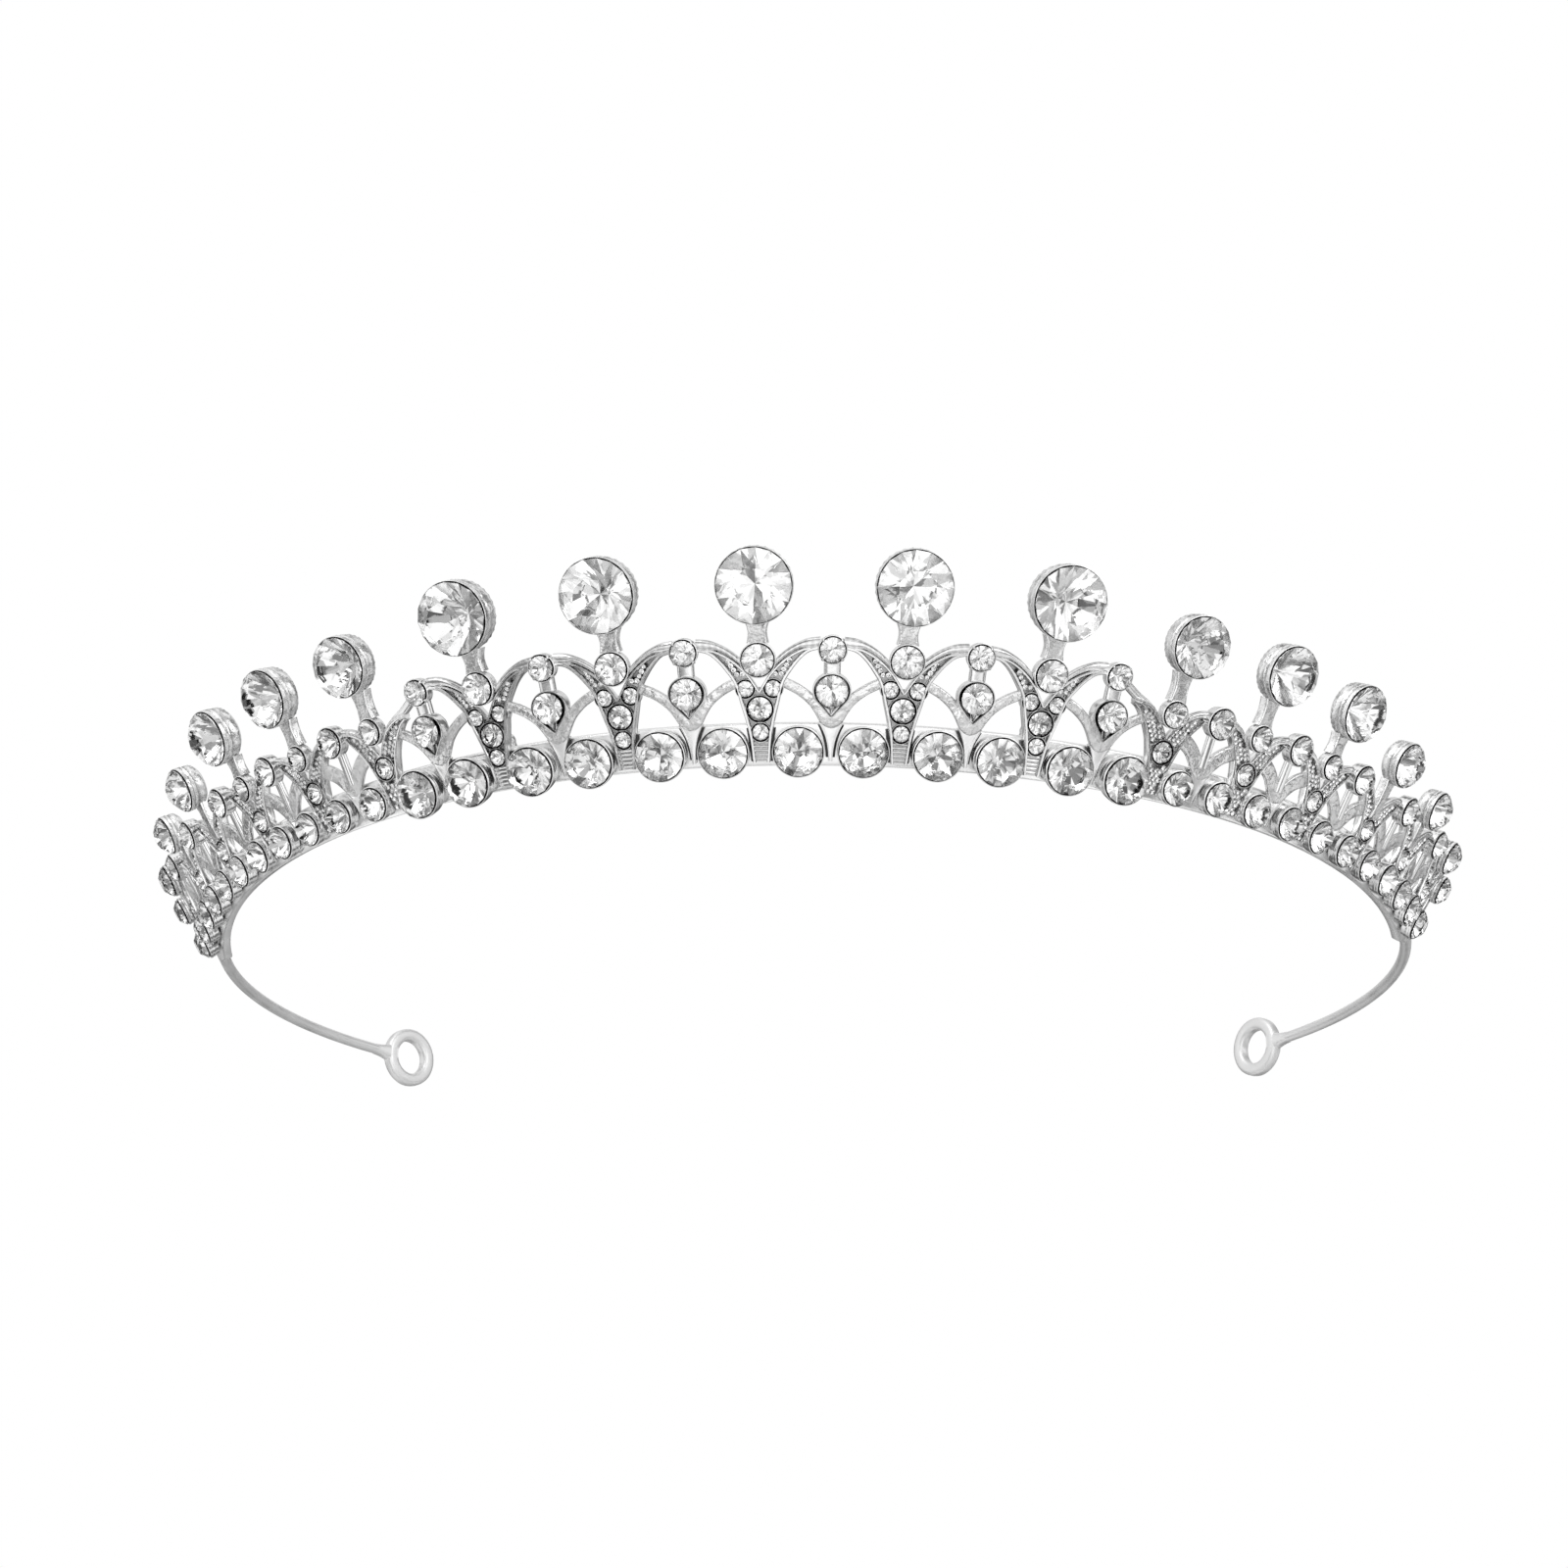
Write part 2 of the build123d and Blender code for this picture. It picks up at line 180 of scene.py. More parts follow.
def gridShell(grid, paintedShadeAndTarnish=None, slot=0):
    # rows by columns of points, each row a closed ring, and a fan to the middle of the first and last rows
    rows, cols = grid.shape[:2]
    index = np.arange(rows * cols).reshape(rows, cols)
    nextCol = np.roll(index, -1, axis=1)
    quads = np.stack([index[:-1], nextCol[:-1], nextCol[1:], index[1:]], -1).reshape(-1, 4)
    caps = np.array([grid[0].mean(0), grid[-1].mean(0)])
    first = np.stack([np.full(cols, rows * cols), nextCol[0], index[0]], -1)
    last = np.stack([np.full(cols, rows * cols + 1), index[-1], nextCol[-1]], -1)
    points = np.concatenate([grid.reshape(-1, 3), caps])
    if paintedShadeAndTarnish is not None:
        paintedShadeAndTarnish = np.broadcast_to(paintedShadeAndTarnish, (rows, cols))
        paintedShadeAndTarnish = np.concatenate([paintedShadeAndTarnish.ravel(), paintedShadeAndTarnish[[0, -1]].mean(1)])
    return outward(shell(points, quads, np.concatenate([first, last]), paintedShadeAndTarnish, slot))


def ringShell(grid, paintedShadeAndTarnish=None, slot=0):
    # rows by columns of points, closed both ways, as a doughnut is
    rows, cols = grid.shape[:2]
    index = np.arange(rows * cols).reshape(rows, cols)
    nextCol, nextRow = np.roll(index, -1, 1), np.roll(index, -1, 0)
    quads = np.stack([index, nextCol, np.roll(nextCol, -1, 0), nextRow], -1).reshape(-1, 4)
    if paintedShadeAndTarnish is not None:
        paintedShadeAndTarnish = np.broadcast_to(paintedShadeAndTarnish, (rows, cols)).ravel()
    return outward(shell(grid.reshape(-1, 3), quads, np.zeros((0, 3), int), paintedShadeAndTarnish, slot))


def smoothCurve(points, count):
    # a Catmull-Rom curve through the points, spaced evenly along its length
    points = np.asarray(points, float)
    slopes = np.gradient(points, axis=0)
    u = np.linspace(0, len(points) - 1, count * 6)
    k = np.minimum(u.astype(int), len(points) - 2)
    f = (u - k)[:, None]
    a, b, ma, mb = points[k], points[k + 1], slopes[k], slopes[k + 1]
    fine = a * (2 * f**3 - 3 * f**2 + 1) + b * (3 * f**2 - 2 * f**3)
    fine = fine + ma * (f**3 - 2 * f**2 + f) + mb * (f**3 - f**2)
    far = np.concatenate([[0], np.cumsum(np.linalg.norm(np.diff(fine, axis=0), axis=1))])
    even = np.linspace(0, far[-1], count)
    return np.stack([np.interp(even, far, fine[:, axis]) for axis in range(points.shape[1])], -1)


def roundBox(count, sharp=0.35):
    # a rounded box outline from -1 to 1: signed powers of cosine and sine of the way round
    angle = (np.arange(count) + 0.5) / count * 2 * np.pi
    c, s = np.cos(angle), np.sin(angle)
    return np.sign(c) * np.abs(c) ** sharp, np.sign(s) * np.abs(s) ** sharp


def stripFlat(left, right, low, high, dome=0.0, count=20, sharp=0.35):
    # a strip between two edge curves in the flat motif, its section a rounded box that can be domed:
    # point = middle + half width times across, height = middle + half thickness times lift
    across, lift = roundBox(count, sharp)
    middle, half = (left + right) / 2, (right - left) / 2
    flat = middle[:, None] + half[:, None] * across[None, :, None]
    low, high = (np.broadcast_to(edge, len(left))[:, None] for edge in (low, high))
    rise = dome * (1 - across**2) * (lift > 0)
    height = (low + high) / 2 + (high - low) / 2 * (lift + rise)
    return np.concatenate([flat, height[..., None]], -1)


def railFlat(path, width, low, high, shift=0.0, count=12, sharp=0.6):
    # a thin raised wire beside a flat path:
    # point = path + side normal times (shift + half width times across)
    across, lift = roundBox(count, sharp)
    way = np.gradient(path, axis=0)
    way /= np.linalg.norm(way, axis=1, keepdims=True)
    side = np.stack([-way[:, 1], way[:, 0]], -1)
    width = np.broadcast_to(width, len(path))
    flat = path[:, None] + side[:, None] * (shift + across[None, :] * width[:, None] / 2)[..., None]
    height = (low + high) / 2 + (high - low) / 2 * lift
    return np.concatenate([flat, np.broadcast_to(height, flat.shape[:2])[..., None]], -1)


def mirrorFlat(flat):
    return flat * np.array([-1, 1, 1])


def bend(flat, arc, up=0.0):
    # flat motif coordinates onto the cone, so that a casting follows the band's curve
    return facePoint(arc + flat[..., 0], up + flat[..., 1], cone["back"] + flat[..., 2])


def placeFlat(points, arc, up, out=0.0, size=1.0):
    # a round piece keeps its true shape: it stands on the tangent plane at its own place
    origin = facePoint(np.array(arc), np.array(up), np.array(cone["back"] + out))
    return origin + np.asarray(points) * size * unit @ faceAxes(arc).T


def lathe(profile, sides, scallop=0.0, lobes=0):
    # radius and height carried round the axis: x = r cos, y = r sin, with an optional wavy wall
    profile = np.asarray(profile, float)
    angle = np.arange(sides) / sides * 2 * np.pi
    wave = 1 + scallop * np.cos(lobes * angle)[None, :] * (profile[:, 2:3] if profile.shape[1] > 2 else 1)
    radius = profile[:, :1] * wave
    height = np.broadcast_to(profile[:, 1:2], radius.shape)
    return np.stack([radius * np.cos(angle), radius * np.sin(angle), height], -1)


def newMaterial(name):
    material = bpy.data.materials.new(name)
    material.use_nodes = True
    nodes = material.node_tree.nodes
    return material, nodes, material.node_tree.links, nodes["Principled BSDF"]


def setRange(ramp, side, ends):
    ramp.inputs[side + " Min"].default_value, ramp.inputs[side + " Max"].default_value = ends


# broad is the second noise's scale, over the first's, and ramp is where it runs from polished to dull
skinNoise = dict(broad=0.22, detail=3, ramp=(0.35, 0.7))


def castGroup():
    # grain: two scales of noise make the skin of a polished casting, and a per-point mask darkens it: painted
    # shade in hollows and gaps, and patches of tarnish
    group = bpy.data.node_groups.new("castSkin", "ShaderNodeTree")
    face = group.interface
    sockets = dict(INPUT=dict(Scale="Float", Polished="Float", Dull="Float", Bright="Color", Deep="Color"),
                   OUTPUT=dict(Colour="Color", Roughness="Float", Height="Float"))
    for way, kinds in sockets.items():
        for label, kind in kinds.items():
            face.new_socket(label, in_out=way, socket_type="NodeSocket" + kind)
    nodes, links = group.nodes, group.links
    inside, outside = nodes.new("NodeGroupInput"), nodes.new("NodeGroupOutput")
    place = nodes.new("ShaderNodeTexCoord")
    fine, broad = nodes.new("ShaderNodeTexNoise"), nodes.new("ShaderNodeTexNoise")
    broadScale = nodes.new("ShaderNodeMath")
    broadScale.operation, broadScale.inputs[1].default_value = "MULTIPLY", skinNoise["broad"]
    paintedShadeAndTarnish = nodes.new("ShaderNodeAttribute")
    paintedShadeAndTarnish.attribute_name = "paintedShadeAndTarnish"
    links.new(inside.outputs["Scale"], fine.inputs["Scale"])
    links.new(inside.outputs["Scale"], broadScale.inputs[0])
    links.new(broadScale.outputs[0], broad.inputs["Scale"])
    for noise in (fine, broad):
        links.new(place.outputs["Object"], noise.inputs["Vector"])
        noise.inputs["Detail"].default_value = skinNoise["detail"]
    tone = nodes.new("ShaderNodeMix")
    tone.data_type = "RGBA"
    links.new(paintedShadeAndTarnish.outputs["Fac"], tone.inputs["Factor"])
    links.new(inside.outputs["Bright"], tone.inputs["A"])
    links.new(inside.outputs["Deep"], tone.inputs["B"])
    links.new(tone.outputs["Result"], outside.inputs["Colour"])
    rough = nodes.new("ShaderNodeMapRange")
    setRange(rough, "From", skinNoise["ramp"])
    links.new(broad.outputs["Fac"], rough.inputs["Value"])
    links.new(inside.outputs["Polished"], rough.inputs["To Min"])
    links.new(inside.outputs["Dull"], rough.inputs["To Max"])
    links.new(rough.outputs["Result"], outside.inputs["Roughness"])
    height = nodes.new("ShaderNodeMath")
    height.operation = "ADD"
    links.new(fine.outputs["Fac"], height.inputs[0])
    links.new(broad.outputs["Fac"], height.inputs[1])
    links.new(height.outputs[0], outside.inputs["Height"])
    return group


castSkin = castGroup()

# grey of the metal and the darker grey painted into its hollows and gaps as shade and into its tarnish
# patches, roughness from polished to dull, the grain's scale, and its bump with the bump's height in metres
finish = dict(
    castSilver=dict(bright=0.78, deep=0.05, polished=0.10, dull=0.26, scale=1400, bump=0.4, high=0.00005),
    satinSilver=dict(bright=0.70, deep=0.07, polished=0.14, dull=0.4, scale=900, bump=0.9, high=0.0003),
    grainSilver=dict(bright=0.85, deep=0.06, polished=0.16, dull=0.36, scale=2200, bump=0.8, high=0.0001),
    bandSilver=dict(bright=0.92, deep=0.1, polished=0.18, dull=0.42, scale=900, bump=0.3, high=0.0001),
    wireSilver=dict(bright=0.80, deep=0.1, polished=0.42, dull=0.55, scale=1100, bump=0.1, high=0.00005),
)
glass = dict(
    tint=0.985, bend=1.42,  # bend is the index of refraction
    # the middle and deep foils are painted shade for chosen facets
    foils=dict(foilBright=0.92, foilPaintedHalfShade=0.74, foilPaintedShade=0.42), foilRough=(0.02, 0.10),
    foilScale=1800,
)


def silver(name):
    made = finish[name]
    material, nodes, links, shader = newMaterial(name)
    skin = nodes.new("ShaderNodeGroup")
    skin.node_tree = castSkin
    skin.inputs["Bright"].default_value = (*[made["bright"]] * 3, 1)
    skin.inputs["Deep"].default_value = (*[made["deep"]] * 3, 1)
    for label in ("Scale", "Polished", "Dull"):
        skin.inputs[label].default_value = made[label.lower()]
    raised = nodes.new("ShaderNodeBump")
    raised.inputs["Strength"].default_value = made["bump"]
    raised.inputs["Distance"].default_value = made["high"]
    links.new(skin.outputs["Height"], raised.inputs["Height"])
    links.new(raised.outputs["Normal"], shader.inputs["Normal"])
    links.new(skin.outputs["Colour"], shader.inputs["Base Color"])
    links.new(skin.outputs["Roughness"], shader.inputs["Roughness"])
    shader.inputs["Metallic"].default_value = 1
    return material


castSilver, satinSilver, grainSilver, bandSilver, wireSilver = (silver(name) for name in finish)


def crystalGlass():
    # clear lead glass; the foils on its back are slots of their own
    material, *_, shader = newMaterial("crystalGlass")
    shader.inputs["Base Color"].default_value = (*[glass["tint"]] * 3, 1)
    shader.inputs["Metallic"].default_value = 0
    shader.inputs["Roughness"].default_value = 0.0
    shader.inputs["IOR"].default_value = glass["bend"]
    shader.inputs["Transmission Weight"].default_value = 1
    return material


def foilBack(name, foilGrey):
    # mirror foil under the facets; besides the plain bright foil, two darker greys paint shade onto chosen
    # facets to keep the facets apart
    material, nodes, links, shader = newMaterial(name)
    speck = nodes.new("ShaderNodeTexNoise")
    speck.inputs["Scale"].default_value = glass["foilScale"]
    place = nodes.new("ShaderNodeTexCoord")
    links.new(place.outputs["Object"], speck.inputs["Vector"])
    tone = nodes.new("ShaderNodeMapRange")
    setRange(tone, "To", glass["foilRough"])
    links.new(speck.outputs["Fac"], tone.inputs["Value"])
    links.new(tone.outputs["Result"], shader.inputs["Roughness"])
    shader.inputs["Base Color"].default_value = (foilGrey, foilGrey, foilGrey, 1)
    shader.inputs["Metallic"].default_value = 1
    return material


stoneMaterials = [crystalGlass()] + [foilBack(name, foilGrey) for name, foilGrey in glass["foils"].items()]


def makePiece(name, shells, materials, nodes, body="tiara_band", sharpAngle=40):
    whole = joinShells(shells)
    mesh = bpy.data.meshes.new(name)
    quads, tris = whole["quads"], whole["tris"]
    loops = np.concatenate([quads.ravel(), tris.ravel()])
    starts = np.concatenate([np.arange(len(quads)) * 4, len(quads) * 4 + np.arange(len(tris)) * 3])
    mesh.vertices.add(len(whole["points"]))
    mesh.vertices.foreach_set("co", whole["points"].ravel())
    mesh.loops.add(len(loops))
    mesh.loops.foreach_set("vertex_index", loops)
    mesh.polygons.add(len(starts))
    mesh.polygons.foreach_set("loop_start", starts)
    mesh.polygons.foreach_set("material_index", np.concatenate([whole["quadSlots"], whole["triSlots"]]))
    mesh.polygons.foreach_set("use_smooth", np.full(len(starts), whole["smooth"]))
    mesh.update(calc_edges=True)
    # per-point mask of painted shade and tarnish, which darkens the metal
    mask = mesh.attributes.new("paintedShadeAndTarnish", "FLOAT", "POINT")
    mask.data.foreach_set("value", whole["paintedShadeAndTarnish"])
    for material in materials:
        mesh.materials.append(material)
    if whole["smooth"]:
        mesh.set_sharp_from_angle(angle=np.radians(sharpAngle))
    piece = bpy.data.objects.new(name, mesh)
    bpy.context.scene.collection.objects.link(piece)
    if body:
        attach(piece, body)
    if nodes:
        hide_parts(*nodes)
    return piece


def stoneShape():
    # a brilliant: table octagon, star points, two rings round the girdle, lower points and culet
    s = cutStone
    step = np.arange(8) * np.pi / 4
    half = step + np.pi / 8

    def ring(angle, radius, height):
        return np.stack([radius * np.cos(angle), radius * np.sin(angle), np.full(8, height)], -1)

    top, low = s["girdle"], 0.0
    girdleAngle = np.arange(16) * np.pi / 8
    around = np.stack([np.cos(girdleAngle), np.sin(girdleAngle)], -1)
    rings = [
        ring(step, s["table"], top + s["crown"]),
        ring(half, s["star"], top + s["crown"] * s["starUp"]),
        np.concatenate([around, np.full((16, 1), top)], 1),
        np.concatenate([around, np.full((16, 1), low)], 1),
        ring(half, s["deep"], -s["pavilion"] * s["deepDown"]),
        [[0, 0, top + s["crown"]], [0, 0, -s["pavilion"]]],
    ]
    points = np.concatenate(rings)
    k = np.arange(8)
    n = (k + 1) % 8
    table, star, upper, lower, deep, middle, culet = 0, 8, 16, 32, 48, 56, 57
    g, gn = 2 * k, (2 * k + 2) % 16
    b = (k - 1) % 8
    crownTris = [
        np.stack([np.full(8, middle), table + k, table + n], -1),
        np.stack([table + k, star + k, table + n], -1),
        np.stack([star + k, upper + g, upper + g + 1], -1),
        np.stack([star + k, upper + g + 1, upper + gn], -1),
    ]
    kites = np.stack([table + k, star + b, upper + g, star + k], -1)
    c = np.arange(16)
    wall = np.stack([upper + c, lower + c, lower + (c + 1) % 16, upper + (c + 1) % 16], -1)
    backTris = [
        np.stack([deep + k, lower + g + 1, lower + g], -1),
        np.stack([deep + k, lower + gn, lower + g + 1], -1),
    ]
    mains = np.stack([np.full(8, culet), deep + k, lower + g, deep + b], -1)
    quads = np.concatenate([kites, wall, mains])
    tris = np.concatenate(crownTris + backTris)
    quadSlots = np.concatenate([np.zeros(24, int), s["mainFacetShades"]])
    triSlots = np.concatenate([np.zeros(32, int), s["lowerFacetShades"]])
    return points, quads, tris, quadSlots, triSlots


stonePoints, stoneQuads, stoneTris, stoneQuadSlots, stoneTriSlots = stoneShape()


def stoneAt(size, arc, up, out, turn, depth):
    # the unit stone turned about its axis, grown to size and set with its girdle at height out;
    # below the girdle it is flattened to depth where its seat is shallow
    c, s = np.cos(turn), np.sin(turn)
    spun = stonePoints @ np.array([[c, s, 0], [-s, c, 0], [0, 0, 1]])
    spun[:, 2] *= np.where(spun[:, 2] < 0, min(1, depth / (cutStone["pavilion"] * size / 2)), 1)
    piece = shell(placeFlat(spun, arc, up, out, size / 2), stoneQuads, stoneTris, smooth=False)
    piece["quadSlots"], piece["triSlots"] = stoneQuadSlots, stoneTriSlots
    return piece


def girdleUp(stone, sink=0.0):
    return cup["floor"] + stone / 2 * cutStone["seat"] - sink * stone


rng = np.random.default_rng(7)


def seatedStones(places, spread=0.0, back=0.0, sink=0.0):
    # each place is arc, up and diameter; a stone covers its cup's seat and stands just over the lip
    return [stoneAt(size + spread, arc, up, girdleUp(size, sink) + cup["proud"], rng.uniform(0, np.pi),
                    girdleUp(size, sink) - back - cup["under"]) for arc, up, size in places]


def cupAt(size, arc, up, back=0.0, beads=0, sink=0.0):
    # wall profile from the back's middle, round the outside with two ridges, over the lip and down the seat
    r, lip = size / 2, girdleUp(size, sink)
    outer = r + cup["wall"]
    tall = lip - back
    details = ("ridge", "grooveShade", "lipShade", "wave")
    ridge, grooveShade, lipShade, wave = (cup[detail] if beads else 0.0 for detail in details)
    profile = [
        (0.02, back, 0), (outer * 0.5, back + 0.02, 0), (outer * 0.78, back + 0.06 * tall, 0.2),
        (outer * 0.93, back + 0.22 * tall, 1), (outer * 0.96, back + 0.45 * tall, 1),
        (outer * (0.965 - ridge), lip - 0.40 * tall, 1), (outer * 0.985, lip - 0.34 * tall, 1),
        (outer * 0.985, lip - 0.26 * tall, 1), (outer * (0.985 - ridge), lip - 0.2 * tall, 0.5),
        (outer, lip - 0.15 * tall, 0.2), (outer, lip - 0.04, 0.2), (outer - 0.05, lip, 0),
        (outer - 0.1, lip, 0), (outer - 0.13, lip - 0.04, 0), (r - 0.02, lip - 0.12, 0),
        (r - 0.1, lip - 0.3, 0), (0.02, back + 0.1, 0),
    ]
    # the seat, the inner lip and a beaded cup's grooves are painted dark as shade
    paintedShadeAndTarnish = np.array([0, 0, 0, 0, 0, grooveShade, 0, 0, grooveShade, 0, 0, 0.3 * lipShade, lipShade, 1, 1, 1, 1.0])
    grid = placeFlat(lathe(profile, cup["sides"], wave, beads), arc, up)
    return gridShell(grid, paintedShadeAndTarnish[:, None])


claws = dict(count=4, turn=np.pi / 4, wide=0.42, blunt=0.97, reach=0.1, lean=0.07, low=0.12, tall=0.38)


def clawsAt(size, arc, up):
    # each claw is a bead that grips the stone's edge:
    # its radius falls off as the root of 1 - blunt times t squared along its axis
    made = []
    lip = girdleUp(size)
    t = np.linspace(-1, 1, 9)[:, None]
    angle = np.arange(8) / 8 * 2 * np.pi
    fat = claws["wide"] / 2 * np.sqrt(1 - claws["blunt"] * t * t)
    for k in range(claws["count"]):
        around = claws["turn"] + 2 * np.pi * k / claws["count"]
        reach = size / 2 + claws["reach"] - claws["lean"] * t
        local = np.stack([
            (reach + fat * np.cos(angle)) * np.cos(around) - fat * np.sin(angle) * np.sin(around),
            (reach + fat * np.cos(angle)) * np.sin(around) + fat * np.sin(angle) * np.cos(around),
            np.broadcast_to(lip - claws["low"] + claws["tall"] * t, (9, 8)),
        ], -1)
        made.append(gridShell(placeFlat(local, arc, up)))
    return made


# V motif: outlines of the right half of a wide one
vShape = dict(
    outer=[(0.95, -1.3), (1.3, 2.1), (2.0, 5.2), (2.55, 7.4), (3.4, 8.9), (4.25, 10.05), (5.1, 10.8),
           (6.1, 11.1)],
    notch=[(0, 6.5), (1.0, 8.2), (2.0, 9.4), (3.1, 10.35), (4.3, 11.05), (5.2, 11.3)],
    archLow=[(1.2, 8.7), (2.0, 9.55), (3.1, 10.5), (4.2, 11.1), (5.1, 11.05), (6.2, 11.2)],
    archHigh=[(1.35, 9.5), (2.0, 10.35), (3.1, 11.3), (4.2, 11.95), (5.1, 12.3), (6.2, 12.45)],
    # pairs are for the wide motif and the narrow one
    # the skirt values are how dark the painted shade strip beside the cups is
    hornFrom=[6.2, 4.6], footTop=[7.0, 5.6], skirtTop=[2.7, 1.8], skirtShade=[1.0, 0.6],
    floor=0.22, floorShade=[0.6, 0.4], fade=0.25,  # the painted shade on the channel floor fades over the last quarter of a horn
    outerRail=[0.42, 0.26], innerRail=[0.3, 0.24], railLow=0.1, railHigh=1.22,
    archFrom=0.05, archTo=0.97, archDome=0.3, mottle=0.34,
    # the sole plate under the ribs is painted darker as shade
    soleTop=1.15, soleLow=0.1, soleHigh=0.62, soleShade=0.3,
    narrowOuter=[(0.9, -1.1), (1.2, 1.4), (1.7, 3.4), (2.2, 5.0), (2.9, 6.4), (3.6, 7.4), (4.2, 8.1),
                 (4.8, 8.5)],
    narrowNotch=[(0, 5.3), (0.7, 6.5), (1.4, 7.3), (2.2, 8.05), (3.1, 8.6), (4.0, 8.9)],
    narrowArchLow=[(0.9, 6.7), (1.5, 7.35), (2.3, 8.1), (3.2, 8.55), (4.0, 8.5), (4.8, 8.6)],
    narrowArchHigh=[(1.0, 7.4), (1.55, 8.0), (2.4, 8.75), (3.3, 9.25), (4.1, 9.5), (4.8, 9.6)],
    wideStones=[(2.15, 0, 2.05), (3.05, 0, 4.6), (2.15, 1.42, 6.85), (2.15, -1.42, 6.85)],
    narrowStones=[(2.85, 0, 3.8)],
    girdle=1.08, bezelHigh=1.14, skirt=0.24,
    bridge=[(3.2, 8.75), (4.4, 9.35), (5.3, 9.95), (6.2, 10.6)], bridgeWide=0.95,
    ribs=[-0.95, -0.5, -0.05, 0.4, 0.8], ribInset=0.3, ribWide=0.36, ribLow=0.3, ribHigh=0.86,
    pave=0.6, pavePitch=0.56, paveRow=0.866, paveFrom=[3.0, -0.8], paveOut=0.86, stoneInset=0.4,
    paveTable=0.55, paveTop=0.42, paveBack=-0.7, paveTilt=0.2, paveGrow=(0.85, 1.05), paveLift=0.1,
    railGap=0.17, stoneGap=0.34,  # room between a pave stone's middle and the metal
)


def shadowStripShell(edge, extra, arc, shade=1.0):
    # a thin strip under a foot, a little wider than it, painted dark as the shade in the gap beside the cups
    wider = edge + [extra, 0]
    return gridShell(bend(stripFlat(wider * [-1, 1], wider, 0.0, 0.34, 0, 16, 0.3), arc), shade)


def vEdges(index):
    # outlines of the right half, with the stones and the kind: 0 is wide and 1 is narrow
    v, kind = vShape, int(index >= cone["wideCount"])
    edges = dict(kind=kind, stones=v[("wideStones", "narrowStones")[kind]])
    for key in ("outer", "notch", "archLow", "archHigh"):
        edges[key] = np.array(v["narrow" + key[0].upper() + key[1:] if kind else key], float)
    return edges


def vCasting(index, arc):
    # channel floors painted dark as shade, raised rails along every edge, a smooth arch above the horns, and
    # ribs in the foot
    v, edges = vShape, vEdges(index)
    kind = edges["kind"]
    outer, notch = smoothCurve(edges["outer"], 64), smoothCurve(edges["notch"], 40)
    horn = smoothCurve(outer[outer[:, 1] > v["hornFrom"][kind]], 40)
    foot = smoothCurve(outer[outer[:, 1] < v["footTop"][kind]], 30)
    across, lift = roundBox(24, 0.2)
    # the top of the recessed channel floor is painted dark as shade
    top = np.where(lift > 0.5, v["floorShade"][kind], 0.0)[None, :]
    fade = np.clip((1 - np.linspace(0, 1, 40)[:, None]) / v["fade"], 0, 1)
    floor = stripFlat(foot * [-1, 1], foot, 0.0, v["floor"], 0, 24, 0.2)
    shells = [gridShell(bend(floor, arc), np.tile(top, (30, 1)))]
    shells.append(shadowStripShell(foot[foot[:, 1] < v["skirtTop"][kind]], v["skirt"], arc, v["skirtShade"][kind]))
    low, high = smoothCurve(edges["archLow"], 36), smoothCurve(edges["archHigh"], 36)
    for side in (1, -1):
        parts = [(stripFlat(notch, horn, 0.0, v["floor"], 0, 24, 0.2), top * fade)]
        rail = v["outerRail"][kind]
        parts.append((railFlat(outer, rail, v["railLow"], v["railHigh"], rail / 2), None))
        parts.append((railFlat(notch, v["innerRail"][kind], v["railLow"], v["railHigh"] + 0.02, -0.05), None))
        # patches of tarnish from the product of two waves
        mottle = np.sin(np.arange(36)[:, None] * 0.83 + 2.1 * across) * np.cos(across * 4.3 + arc)
        arch = stripFlat(low, high, v["archFrom"], v["archTo"], v["archDome"], 24, 0.6)
        parts.append((arch, v["mottle"] * np.abs(mottle)))
        for flat, paintedShadeAndTarnish in parts:
            shells.append(gridShell(bend(flat if side > 0 else mirrorFlat(flat), arc), paintedShadeAndTarnish))
    if index == cone["wideCount"]:
        # the first narrow motif reaches up to the taller leaf beside it
        bridge = railFlat(smoothCurve(v["bridge"], 30), v["bridgeWide"], 0.05, 1.05, 0.0, 16, 0.6)
        shells.append(gridShell(bend(bridge if arc < 0 else mirrorFlat(bridge), arc)))
    if kind == 0:
        # the sole between the ribs is painted darker as shade
        sole = foot[foot[:, 1] < v["soleTop"]]
        plate = stripFlat(sole * [-1, 1], sole, v["soleLow"], v["soleHigh"], 0, 16, 0.2)
        shells.append(gridShell(bend(plate, arc), v["soleShade"]))
        for up in v["ribs"]:
            half = np.interp(up, foot[:, 1], foot[:, 0]) - v["ribInset"]
            level = np.stack([np.linspace(-half, half, 5), np.full(5, up)], -1)
            rib = railFlat(level, v["ribWide"], v["ribLow"], v["ribHigh"], 0.0, 10, 0.9)
            shells.append(gridShell(bend(rib, arc)))
    return shells + [bezelAt(size, x, up, arc) for size, x, up in edges["stones"]]


def bezelAt(size, x, up, arc):
    # thin round wall about a small stone, painted dark down its inside as shade
    r, high = size / 2, vShape["bezelHigh"]
    profile = [(0.02, 0.0), (r + 0.04, 0.0), (r + 0.07, 0.5), (r + 0.08, high - 0.08), (r + 0.05, high),
               (r, high), (r - 0.01, high - 0.05), (r - 0.14, high - 0.3), (0.02, 0.05)]
    paintedShadeAndTarnish = np.array([0, 0, 0, 0, 0, 0.6, 1, 1, 1.0])[:, None]
    centre = facePoint(np.array(arc + x), np.array(up), np.array(cone["back"]))
    return gridShell(centre + lathe(profile, 28) * unit @ faceAxes(arc + x).T, paintedShadeAndTarnish)


def vStones(index, arc):
    girdle = vShape["girdle"]
    return [stoneAt(size - vShape["stoneInset"], arc + x, up, girdle, rng.uniform(0, 3), girdle - 0.12)
            for size, x, up in vEdges(index)["stones"]]


